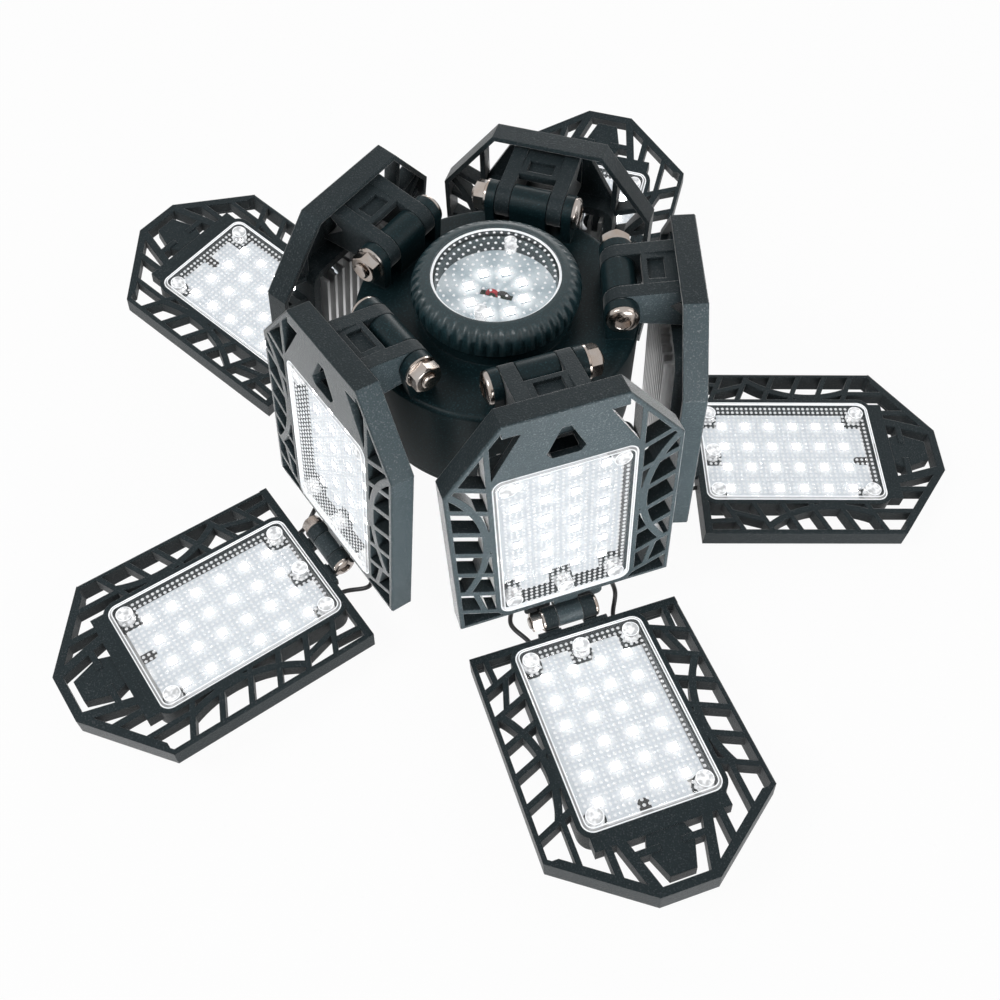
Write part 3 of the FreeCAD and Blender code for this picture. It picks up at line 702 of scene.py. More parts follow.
def hexagon(shape: BMesh, radius: float, height: float, steps: int) -> list:
    """Adds a hexagon's outline, cut into as many edges as a circle has, and returns its edges.

    Args:
        shape: the mesh that gets it.
        radius: its corners' distance from the axis.
        height: its place on the axis.
        steps: how many edges it is cut into.

    Returns:
        The outline's edges.
    """
    made = bmesh.ops.create_circle(shape, segments=6, radius=radius, matrix=at(0, 0, height))
    sides = list({edge for vert in made["verts"] for edge in vert.link_edges})
    bmesh.ops.subdivide_edges(shape, edges=sides, cuts=steps // 6 - 1)
    return [edge for edge in shape.edges if edge.is_wire]


def grown(shape: BMesh, ring: list) -> tuple[list, list]:
    """Extrudes a ring of edges and returns the new ring's vertices and edges.

    Args:
        shape: the mesh.
        ring: the ring's edges.

    Returns:
        The new ring's vertices and its edges.
    """
    made = bmesh.ops.extrude_edge_only(shape, edges=ring)["geom"]
    return ([item for item in made if isinstance(item, bmesh.types.BMVert)],
            [item for item in made if isinstance(item, bmesh.types.BMEdge) and item.is_boundary])


def split(shape: BMesh, point: Sequence[float], normal: Sequence[float],
          clear: bool = False) -> None:
    """Cuts the whole mesh along a plane and, if told to, deletes what lies on its normal's side."""
    bmesh.ops.bisect_plane(shape, geom=shape.verts[:] + shape.edges[:] + shape.faces[:],
                           plane_co=point, plane_no=normal, clear_outer=clear)


def point_outwards(shape: BMesh) -> None:
    """Turns all faces outwards."""
    bmesh.ops.recalc_face_normals(shape, faces=shape.faces[:])


def shift_faces(shape: BMesh, faces: Iterable[bmesh.types.BMFace], vec: Sequence[float]) -> None:
    """Moves faces with their vertices."""
    bmesh.ops.translate(shape, verts=list({vert for face in faces for vert in face.verts}), vec=vec)


def touching(verts: Iterable[bmesh.types.BMVert]) -> set:
    """Faces that touch these vertices."""
    return {face for vert in verts for face in vert.link_faces}


def facing(shape: BMesh, verts: Iterable[bmesh.types.BMVert], axis: str = "x") -> list:
    """Faces at these vertices that look along an axis."""
    shape.normal_update()
    return [face for face in touching(verts) if getattr(face.normal, axis) > 0.9]


def set_slot(faces: Iterable[bmesh.types.BMFace], slot: int) -> None:
    """Gives faces a material slot."""
    for face in faces:
        face.material_index = slot


def forward_turn() -> Matrix:
    """Turns a shape drawn looking down +Z so that it looks along +X, with its Y up the panel."""
    return Matrix(((0, 0, 1, 0), (1, 0, 0, 0), (0, 1, 0, 0), (0, 0, 0, 1)))


def sideways(direction: int, distance: float) -> Matrix:
    """Turns a shape drawn along +Z to lie along a wing's Y, from this distance outwards."""
    return at(0, direction * distance, 0) @ Matrix.Rotation(-direction * math.pi / 2, 4, "X")


# ---- hardware ----------------------------------------------------------------------------------
@dataclass(frozen=True)
class SocketHead:
    """Low domed bolt head with a hexagon socket, drawn along +Z from its seat."""

    radius: float
    height: float
    socket: float = 0.5
    socket_depth: float = 0.55
    steps: int = 24

    def draw(self) -> BMesh:
        """Draws the head.

        Returns:
            The head's mesh.
        """
        shape = bmesh.new()
        dome = ((1.0, 0.0), (1.0, 0.35), (0.95, 0.56), (0.85, 0.74), (0.70, 0.88), (0.56, 0.97),
                (self.socket, 1.0))
        turned(shape, [(self.radius * out, self.height * up) for out, up in dome], self.steps)
        bottom = [edge for edge in shape.edges
                  if edge.is_boundary and edge.verts[0].co.z < NEAR_ZERO]
        bmesh.ops.edgeloop_fill(shape, edges=bottom)
        lip = [edge for edge in shape.edges if edge.is_boundary]
        mouth = hexagon(shape, self.radius * self.socket, self.height * 0.94, self.steps)
        bmesh.ops.bridge_loops(shape, edges=lip + mouth)
        low, rest = grown(shape, mouth)
        bmesh.ops.translate(shape, verts=low, vec=(0, 0, -self.height * self.socket_depth))
        bmesh.ops.edgeloop_fill(shape, edges=rest)
        point_outwards(shape)
        return shape


@dataclass(frozen=True)
class FlangeNut:
    """Flanged hexagon nut with the bolt's threaded end in it, drawn along +Z from its seat."""

    across_flats: float
    height: float
    bolt: float
    stand_out: float
    threads: int = 3
    thread_root: float = 0.86
    steps: int = 24

    def draw(self) -> BMesh:
        """Draws the nut and the thread that comes out of it.

        Returns:
            The nut's mesh.
        """
        shape = bmesh.new()
        corner = self.across_flats / math.sqrt(3)
        brim = corner + 0.5 * MM
        crown = self.height * 0.24
        turned(shape, [(0.0, 0.0), (brim, 0.0), (brim, self.height * 0.14), (corner * 0.92, crown),
                       (0.0, crown)], self.steps)
        self._body(shape, corner)
        self._thread(shape)
        point_outwards(shape)
        return shape

    def _body(self, shape: BMesh, corner: float) -> None:
        """Adds the hexagon, whose corners are chamfered at the top.

        Args:
            shape: the nut's mesh.
            corner: its corners' distance from the axis.
        """
        limit = self.across_flats * 0.48
        side, ring = grown(shape, hexagon(shape, corner, self.height * 0.15, self.steps))
        for vert in side:
            vert.co.z = self.height - (vert.co.xy.length - limit) * 0.6
        top, ring = grown(shape, ring)
        for vert in top:
            vert.co.xy *= limit / vert.co.xy.length
            vert.co.z = self.height
        bmesh.ops.edgeloop_fill(shape, edges=ring)

    def _thread(self, shape: BMesh) -> None:
        """Adds the bolt's end with its thread.

        Args:
            shape: the nut's mesh.
        """
        low = self.height * 0.9
        top = self.height + self.stand_out
        root = self.bolt * self.thread_root
        rise = (top - low) / (self.threads + 0.5)
        profile = [(root, low)]
        for index in range(self.threads):
            profile += [(self.bolt, low + rise * (index + 0.5)), (root, low + rise * (index + 1))]
        turned(shape, profile + [(self.bolt * 0.78, top), (0.0, top)], self.steps)


@dataclass(frozen=True)
class HingeBolt:
    """One hinge's bolt across a wing: its head on one side and its nut on the other."""

    head: SocketHead
    nut: FlangeNut
    half: float
    head_side: int

    def add(self, bolts: BMesh, nuts: BMesh, place: Matrix) -> None:
        """Adds the head and shank to one mesh and the nut to another, at the hinge's place.

        Args:
            bolts: the mesh that gets the head and shank.
            nuts: the mesh that gets the nut.
            place: the hinge's place.
        """
        shank = bmesh.new()
        cone(shank, self.nut.bolt, self.nut.bolt, 2 * self.half, Matrix.Identity(4))
        for whole, part, turn in ((bolts, self.head.draw(), sideways(self.head_side, self.half)),
                                  (bolts, shank, sideways(1, -self.half)),
                                  (nuts, self.nut.draw(), sideways(-self.head_side, self.half))):
            add_copy(whole, part, place @ turn)
            part.free()


SHOULDER_BOLT = HingeBolt(SocketHead(6.0 * MM, 2.6 * MM),
                          FlangeNut(10.0 * MM, 5.2 * MM, 3.0 * MM, 1.2 * MM), 16.9 * MM, -1)
ELBOW_BOLT = HingeBolt(SocketHead(4.7 * MM, 1.7 * MM),
                       FlangeNut(7.3 * MM, 5.0 * MM, 2.5 * MM, 0.9 * MM), 10.55 * MM, 1)


# ---- wings -------------------------------------------------------------------------------------
@dataclass(frozen=True)
class WingPlace:
    """Where one wing's two panels and its shoulder are at rest."""

    number: int
    inner: Matrix
    outer: Matrix
    shoulder: Matrix

    @classmethod
    def from_joints(cls, number: int, joints: dict) -> "WingPlace":
        """Works out a wing's places from the frame's joints by name.

        Args:
            number: the wing's number.
            joints: the frame's joints by name.

        Returns:
            The wing's places: X out of the panel's lit face, Y across it, Z up it.
        """
        shoulder = joints[f"shoulder_{number}"]
        elbow = joints[f"elbow_{number}"]
        swing = -math.radians(shoulder["range_deg"][0])
        fold = -math.radians(elbow["range_deg"][0])
        pivot = Vector(shoulder["pos_m"])
        hinge = Matrix.Translation(pivot) @ Matrix.Rotation(math.atan2(pivot.y, pivot.x), 4, "Z")
        inner = hinge @ Matrix.Rotation(-swing, 4, "Y")
        outer = inner @ Matrix.Rotation(-fold, 4, "Y")
        outer.translation = Vector(elbow["pos_m"])
        return cls(number, inner, outer, hinge)

    def of(self, half: Half) -> Matrix:
        """Place of one of the two panels."""
        return self.inner if half is Half.INNER else self.outer


@dataclass(frozen=True)
class Lamp:
    """One light-emitting diode: a square body whose lit face is set in a rim."""

    size: float = 3.4 * MM
    height: float = 0.8 * MM
    rim: float = 0.2 * MM
    sink: float = 0.1 * MM


@dataclass(frozen=True)
class CoverSize:
    """Sizes of a panel's clear cover and board, as in the CAD model."""

    width: float = 52.5 * MM
    length: float = 78.0 * MM
    plate: float = 2.0 * MM
    corner: float = 4.3 * MM
    corner_steps: int = 6
    ridge: float = 0.5 * MM
    boss_radius: float = 3.5 * MM
    boss_length: float = 2.6 * MM
    boss_inset: float = 5.6 * MM
    boss_steps: int = 28
    screw_radius: float = 1.3 * MM
    dot_pitch: float = 2.15 * MM
    dot_radius: float = 0.68 * MM
    dot_height: float = 0.42 * MM
    dot_margin: float = 3.2 * MM
    board_depth: float = 6.0 * MM
    board_thickness: float = 1.6 * MM
    board_margin: float = 2.8 * MM
    lamp: Lamp = Lamp()
    lamp_pitch_across: float = 11.2 * MM
    lamp_pitch_along: float = 10.8 * MM
    lamp_first_row: float = 12.0 * MM
    lamp_columns: int = 4
    lamp_rows: int = 6
    notch_gap: float = 1.1 * MM
    window_across: float = -1.7 * MM
    window_radius: float = 2.3 * MM
    window_depth: float = 6.1 * MM
    backing_gap: float = 0.05 * MM
    backing_sink: float = 0.4 * MM

    def boss_places(self, half: Half) -> list[tuple[float, float]]:
        """Centres of the screw bosses, across and down from the cover's top edge.

        Args:
            half: which of a wing's panels it is.

        Returns:
            The centres, each across and down.
        """
        across = self.width / 2 - self.boss_inset
        near = self.boss_inset
        far = self.length - self.boss_inset
        middle = near if half is Half.OUTER else far
        return [(-across, near), (across, near), (0.0, middle), (-across, far), (across, far)]


@dataclass(frozen=True)
class CutOut:
    """A notch or a window of a board, which reaches past the board where it is open."""

    left: float
    right: float
    lower: float
    upper: float
    radius: float

    def holds(self, point: Vector) -> bool:
        """Whether a point of the board lies in the cut-out."""
        return self.left < point.y < self.right and self.lower < point.z < self.upper

    def at_corner(self, point: Vector) -> bool:
        """Whether a point lies at one of the cut-out's corners."""
        return (min(abs(point.y - side) for side in (self.left, self.right)) < NEAR_ZERO
                and min(abs(point.z - side) for side in (self.lower, self.upper)) < NEAR_ZERO)


def round_corners(shape: BMesh, edges: list, radius: float, steps: int) -> None:
    """Rounds upright edges."""
    bmesh.ops.bevel(shape, geom=edges, offset=radius, segments=steps, profile=0.5, affect="EDGES",
                    material=-1)


@dataclass
class PanelFace:
    """Cover and lamp board of a panel.

    Both are drawn once with the cover's front at X = 0 and its top edge at Z = 0, and copied to
    every wing.
    """

    half: Half
    front: float
    top: float
    size: CoverSize = CoverSize()

    def __post_init__(self) -> None:
        """Draws the cover and the board."""
        self.cover_shape = self._cover()
        self.board_shape = self._board()

    def _cover(self) -> BMesh:
        """Draws the clear cover: plate, raised edge line, screw bosses and the grid of dots.

        Returns:
            The cover's mesh.
        """
        size = self.size
        shape = bmesh.new()
        half = size.width / 2
        block(shape, (-size.plate, -half, -size.length), (0, half, 0))
        corners = [edge for edge in shape.edges
                   if abs(edge.verts[0].co.x - edge.verts[1].co.x) > size.plate / 2]
        round_corners(shape, corners, size.corner, size.corner_steps)
        shape.normal_update()
        for face in shape.faces:
            face.material_index = Glass.SIDE if abs(face.normal.x) < 0.5 else Glass.FLAT
        front = facing(shape, shape.verts)
        for width, rise, slot in ((0.4 * MM, 0.0, Glass.RIM), (0.7 * MM, size.ridge, Glass.RIDGE),
                                  (0.5 * MM, 0.0, Glass.RIM), (0.45 * MM, -size.ridge, Glass.FLAT)):
            made = bmesh.ops.inset_region(shape, faces=front, thickness=width, use_even_offset=True)
            shift_faces(shape, front, (rise, 0, 0))
            set_slot(made["faces"], slot)
        for across, down in size.boss_places(self.half):
            self._boss(shape, across, -down)
        self._dots(shape)
        return shape

    def _boss(self, shape: BMesh, across: float, up: float) -> None:
        """Adds a screw boss behind the cover, the screw's tip in it and the sunk ring before it.

        Args:
            shape: the cover's mesh.
            across: the boss's place across.
            up: its place up.
        """
        size = self.size
        back = at(-size.plate - size.boss_length, across, up) @ forward_turn()
        wall = cone(shape, size.boss_radius, size.boss_radius * 0.94,
                    size.boss_length + size.plate / 2, back, size.boss_steps)
        set_slot(touching(wall), Glass.BOSS)
        screw = cone(shape, size.screw_radius, size.screw_radius * 0.55, size.boss_length * 0.9,
                     back, 12)
        set_slot(touching(screw), Glass.SCREW)
        ring = cone(shape, size.boss_radius * 0.95, size.boss_radius * 0.82, 0.2 * MM,
                    at(NEAR_ZERO, across, up) @ forward_turn(), size.boss_steps)
        set_slot(touching(ring), Glass.BOSS)
        cap = facing(shape, ring)
        made = bmesh.ops.inset_region(shape, faces=cap, thickness=0.4 * MM)
        shift_faces(shape, cap, (-0.12 * MM, 0, 0))
        set_slot(made["faces"], Glass.RIM)

    def _dots(self, shape: BMesh) -> None:
        """Adds the grid of small domes over the cover's flat front.

        Args:
            shape: the cover's mesh.
        """
        size = self.size
        bosses = size.boss_places(self.half)
        columns, rows = (int((side - 2 * size.dot_margin) / size.dot_pitch)
                         for side in (size.width, size.length))
        dot = self._dot()
        for column in range(columns + 1):
            across = (column - columns / 2) * size.dot_pitch
            for row in range(rows + 1):
                down = size.length / 2 + (row - rows / 2) * size.dot_pitch
                gap = min(math.hypot(across - a, down - d) for a, d in bosses)
                if gap > size.boss_radius + 0.1 * MM:
                    add_copy(shape, dot, at(0, across, -down))
        dot.free()

    def _dot(self) -> BMesh:
        """Draws one dome, open at its foot, as two frustums.

        Returns:
            The dome's mesh.
        """
        size = self.size
        shape = bmesh.new()
        turned(shape, [(size.dot_radius, 0.0), (size.dot_radius * 0.8, size.dot_height * 0.6),
                       (size.dot_radius * 0.35, size.dot_height)], 8)
        bmesh.ops.edgeloop_fill(shape, edges=[edge for edge in shape.edges if edge.is_boundary
                                              and edge.verts[0].co.z > size.dot_height / 2])
        point_outwards(shape)
        set_slot(shape.faces, Glass.DOTS)
        shape.transform(forward_turn())
        return shape

    def _board(self) -> BMesh:
        """Draws the lamp board with its UV map and the lamps on it.

        Returns:
            The board's mesh.
        """
        size = self.size
        shape = self._board_plate()
        uv = shape.loops.layers.uv.new("lamps")
        for loop in (loop for face in shape.faces for loop in face.loops):
            along = (-loop.vert.co.z - size.lamp_first_row) / size.lamp_pitch_along + 0.5
            loop[uv].uv = (loop.vert.co.y / size.lamp_pitch_across, along)
        for column in range(size.lamp_columns):
            across = (column - (size.lamp_columns - 1) / 2) * size.lamp_pitch_across
            for row in range(size.lamp_rows):
                self._lamp(shape, across, -size.lamp_first_row - row * size.lamp_pitch_along)
        return shape

    def _cut_outs(self, half: float, low: float, high: float) -> list[CutOut]:
        """The board's notches round the screw posts and the outer board's window.

        Args:
            half: half the board's width.
            low: the board's lower edge.
            high: the board's upper edge.

        Returns:
            The cut-outs, with the window last.
        """
        size = self.size
        reach = size.boss_radius + size.notch_gap
        cuts = []
        for across, down in size.boss_places(self.half):
            left = across - reach if across >= 0 else -half - MM
            right = across + reach if across <= 0 else half + MM
            lower = -down - reach if down < size.length / 2 else low - MM
            upper = -down + reach if down > size.length / 2 else high + MM
            cuts.append(CutOut(left, right, lower, upper, reach * 0.95))
        if self.half is Half.OUTER:
            radius = size.window_radius
            cuts.append(CutOut(size.window_across - radius, size.window_across + radius, low - MM,
                               low + size.window_depth, radius * 0.92))
        return cuts

    def _board_plate(self) -> BMesh:
        """Draws the bare board with its notches and its window, which has a black backing.

        Returns:
            The bare board's mesh.
        """
        size = self.size
        shape = bmesh.new()
        half = size.width / 2 - size.board_margin
        low = -size.length + size.board_margin
        high = -size.board_margin
        middle = at(-size.board_depth, 0, (low + high) / 2)
        scale = Matrix.Diagonal((half, (high - low) / 2, 1, 1))
        bmesh.ops.create_grid(shape, x_segments=1, y_segments=1, size=1,
                              matrix=middle @ forward_turn() @ scale)
        cuts = self._cut_outs(half, low, high)
        for cut in cuts:
            for side in (cut.left, cut.right):
                split(shape, (0, side, 0), (0, 1, 0))
            for level in (cut.lower, cut.upper):
                split(shape, (0, 0, level), (0, 0, 1))
        gone = [face for face in shape.faces
                if any(cut.holds(face.calc_center_median()) for cut in cuts)]
        bmesh.ops.delete(shape, geom=gone, context="FACES")
        bmesh.ops.dissolve_limit(shape, angle_limit=0.01, verts=shape.verts[:],
                                 edges=shape.edges[:])
        point_outwards(shape)
        bmesh.ops.solidify(shape, geom=shape.faces[:], thickness=size.board_thickness)
        front = max(vert.co.x for vert in shape.verts)
        bmesh.ops.translate(shape, verts=shape.verts[:], vec=(-size.board_depth - front, 0, 0))
        for cut in cuts:
            corners = [edge for edge in shape.edges if cut.at_corner(edge.verts[0].co)
                       and abs(edge.verts[0].co.x - edge.verts[1].co.x) > MM]
            round_corners(shape, corners, cut.radius, size.corner_steps)
        point_outwards(shape)
        if self.half is Half.OUTER:
            window = cuts[-1]
            gap = size.backing_gap
            back = -size.board_depth - size.board_thickness
            backing = block(shape, (back, window.left + gap, low),
                            (-size.board_depth - size.backing_sink, window.right - gap,
                             window.upper - gap))
            set_slot(touching(backing), Board.BACKING)
        return shape

    def _lamp(self, shape: BMesh, across: float, up: float) -> None:
        """Adds one lamp to the board.

        Args:
            shape: the board's mesh.
            across: the lamp's place across.
            up: its place up.
        """
        lamp = self.size.lamp
        side = lamp.size / 2
        face = -self.size.board_depth
        lit = facing(shape, block(shape, (face, across - side, up - side),
                                  (face + lamp.height, across + side, up + side)))
        bmesh.ops.inset_region(shape, faces=lit, thickness=lamp.rim)
        shift_faces(shape, lit, (-lamp.sink, 0, 0))
        set_slot(lit, Board.LIT)

    def build(self, place: WingPlace, finishes: Finishes) -> None:
        """Adds this panel's cover and board to a wing.

        Args:
            place: the wing's place.
            finishes: the light's materials.
        """
        half = self.half.value
        body = f"{half}_panel_{place.number}"
        matrix = place.of(self.half) @ at(self.front, 0, -self.top)
        cover = new_piece(f"{half}_cover_{place.number}", self.cover_shape.copy(), body,
                          finishes.glass, matrix)
        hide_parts(f"{half}_lens_{place.number}")
        board = new_piece(f"{half}_lamps_{place.number}", self.board_shape.copy(), body,
                          (finishes.board, finishes.phosphor, finishes.cable), matrix)
        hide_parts(f"{half}_board_{place.number}")


@dataclass(frozen=True)
class ElbowWires:
    """The two supply wires that bow round one elbow, each on a smooth line through three points."""

    radius: float = 0.95 * MM
    start: Vector = Vector((24.0, 20.3, -95.7)) * MM
    end: Vector = Vector((-6.9, 17.4, -6.0)) * MM
    bulge: float = 22.2 * MM
    slack: float = 6.8 * MM
    steps: int = 14

    def knots(self, place: WingPlace, side: int) -> list[tuple[Vector, Vector]]:
        """Three points of a wire's line, each with the line's speed there.

        Args:
            place: the wing's place.
            side: -1 or 1, the wire's side of the elbow.

        Returns:
            The points and speeds in the row frame.
        """
        mirror = Matrix.Diagonal((1, side, 1, 1))
        start = place.inner @ mirror @ self.start
        end = place.outer @ mirror @ self.end
        leave = -place.inner.col[2].xyz
        enter = -place.outer.col[2].xyz
        behind = -(place.inner.col[0].xyz + place.outer.col[0].xyz).normalized() * self.slack
        middle = place.outer.translation + behind + place.inner.col[1].xyz * side * self.bulge
        first = (middle - start).length
        last = (end - middle).length
        pull = (middle - start) * (last / first) + (end - middle) * (first / last)
        speed = (3 * pull - leave * last - enter * first) / (2 * (first + last))
        return [(start, leave), (middle, speed), (end, enter)]

    def _line(self, place: WingPlace) -> bpy.types.Curve:
        """Draws both wires as one curve.

        Args:
            place: the wing's place.

        Returns:
            The curve.
        """
        curve = bpy.data.curves.new(f"wires_{place.number}", "CURVE")
        curve.dimensions = "3D"
        curve.bevel_depth = self.radius
        curve.bevel_resolution = 3
        curve.resolution_u = self.steps
        curve.use_fill_caps = True
        for side in (-1, 1):
            knots = self.knots(place, side)
            gaps = [(there[0] - here[0]).length for here, there in zip(knots, knots[1:])]
            points = curve.splines.new("BEZIER").bezier_points
            points.add(len(knots) - 1)
            for point, (where, speed), before, after in zip(points, knots, gaps[:1] + gaps,
                                                            gaps + gaps[-1:]):
                point.co = where
                point.handle_left = where - speed * before / 3
                point.handle_right = where + speed * after / 3
        return curve

    def build(self, place: WingPlace, finishes: Finishes) -> None:
        """Adds both wires of a wing.

        Args:
            place: the wing's place.
            finishes: the light's materials.
        """
        curve = self._line(place)
        source = bpy.data.objects.new(curve.name, curve)
        bpy.context.scene.collection.objects.link(source)
        bpy.context.view_layer.update()
        mesh = bpy.data.meshes.new_from_object(source)
        bpy.data.objects.remove(source)
        mesh.name = f"elbow_cables_{place.number}"
        wires = bpy.data.objects.new(mesh.name, mesh)
        bpy.context.scene.collection.objects.link(wires)
        mesh.shade_smooth()
        dress(wires, finishes.cable)
        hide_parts(f"elbow_wires_{place.number}")
        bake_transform(wires)
        LOG.info("%s: %d faces", wires.name, len(mesh.polygons))


@dataclass(frozen=True)
class Wing:
    """One wing: an inner and an outer panel, their elbow bolt and the wires between them."""

    place: WingPlace
    faces: Sequence[PanelFace]

    def build(self, nodes: dict, finishes: Finishes) -> None:
        """Dresses the wing's CAD pieces and adds its detailed ones.

        Args:
            nodes: the CAD pieces by name.
            finishes: the light's materials.
        """
        number = self.place.number
        for half in Half:
            dress(nodes[f"{half.value}_frame_{number}"], finishes.moulded)
            dress(nodes[f"{half.value}_heat_sink_{number}"], finishes.aluminium)
        for face in self.faces:
            face.build(self.place, finishes)
        ElbowWires().build(self.place, finishes)
        shape = bmesh.new()
        ELBOW_BOLT.add(shape, shape, self.place.outer)
        bolt = new_piece(f"elbow_fastener_{number}", shape, f"outer_panel_{number}",
                         (finishes.steel,))
        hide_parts(f"elbow_bolt_{number}")


# ---- hub ---------------------------------------------------------------------------------------
@dataclass(frozen=True)
class ScrewShell:
    """Threaded metal shell of the base, from the neck down to the insulator."""

    crest: float = 13.0 * MM
    root: float = 12.15 * MM
    pitch: float = 3.6 * MM
    length: float = 20.0 * MM
    turns: int = 4
    steps: int = 48
    points: int = 12
    wall: float = 0.5 * MM
    collar: float = 2.4 * MM
    tail: float = 3.2 * MM
    end_radius: float = 9.9 * MM

    def _thread(self, shape: BMesh) -> None:
        """Adds the thread: one pitch's profile wound down and trimmed flat at both ends.

        Args:
            shape: the shell's mesh.
        """
        top = -self.collar + self.pitch
        profile = []
        for index in range(self.points + 1):
            part = index / self.points
            swell = (0.5 - 0.5 * math.cos(2 * math.pi * part)) ** 0.8
            radius = self.root + (self.crest - self.root) * swell
            profile.append(shape.verts.new((radius, 0, top - self.pitch * part)))
        edges = [shape.edges.new(pair) for pair in zip(profile, profile[1:])]
        bmesh.ops.spin(shape, geom=profile + edges, cent=(0, 0, 0), axis=(0, 0, 1),
                       dvec=(0, 0, -self.pitch / self.steps), angle=2 * math.pi * (self.turns + 1),
                       steps=self.steps * (self.turns + 1))
        bmesh.ops.remove_doubles(shape, verts=shape.verts[:], dist=0.02 * MM)
        split(shape, (0, 0, -self.collar), (0, 0, 1), clear=True)
        split(shape, (0, 0, self.tail - self.length), (0, 0, -1), clear=True)

    def build(self, finishes: Finishes) -> None:
        """Adds the shell and hides the plain CAD one.

        Args:
            finishes: the light's materials.
        """
        shape = bmesh.new()
        self._thread(shape)
        low = -self.length
        turned(shape, [(self.crest, 0.0), (self.crest, -self.collar * 0.7),
                       (self.root, -self.collar - 0.1 * MM)], self.steps)
        turned(shape, [(self.root, low + self.tail + 0.1 * MM),
                       (self.root - 0.3 * MM, low + 1.6 * MM),
                       (self.end_radius + 1.2 * MM, low + 0.2 * MM), (self.end_radius, low)],
               self.steps)
        point_outwards(shape)
        shell = new_piece("threaded_shell", shape, "hub", (finishes.nickel,), smooth=50.0)
        wall = shell.modifiers.new("wall", "SOLIDIFY")
        wall.thickness = self.wall
        wall.offset = -1.0
        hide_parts("screw_shell")


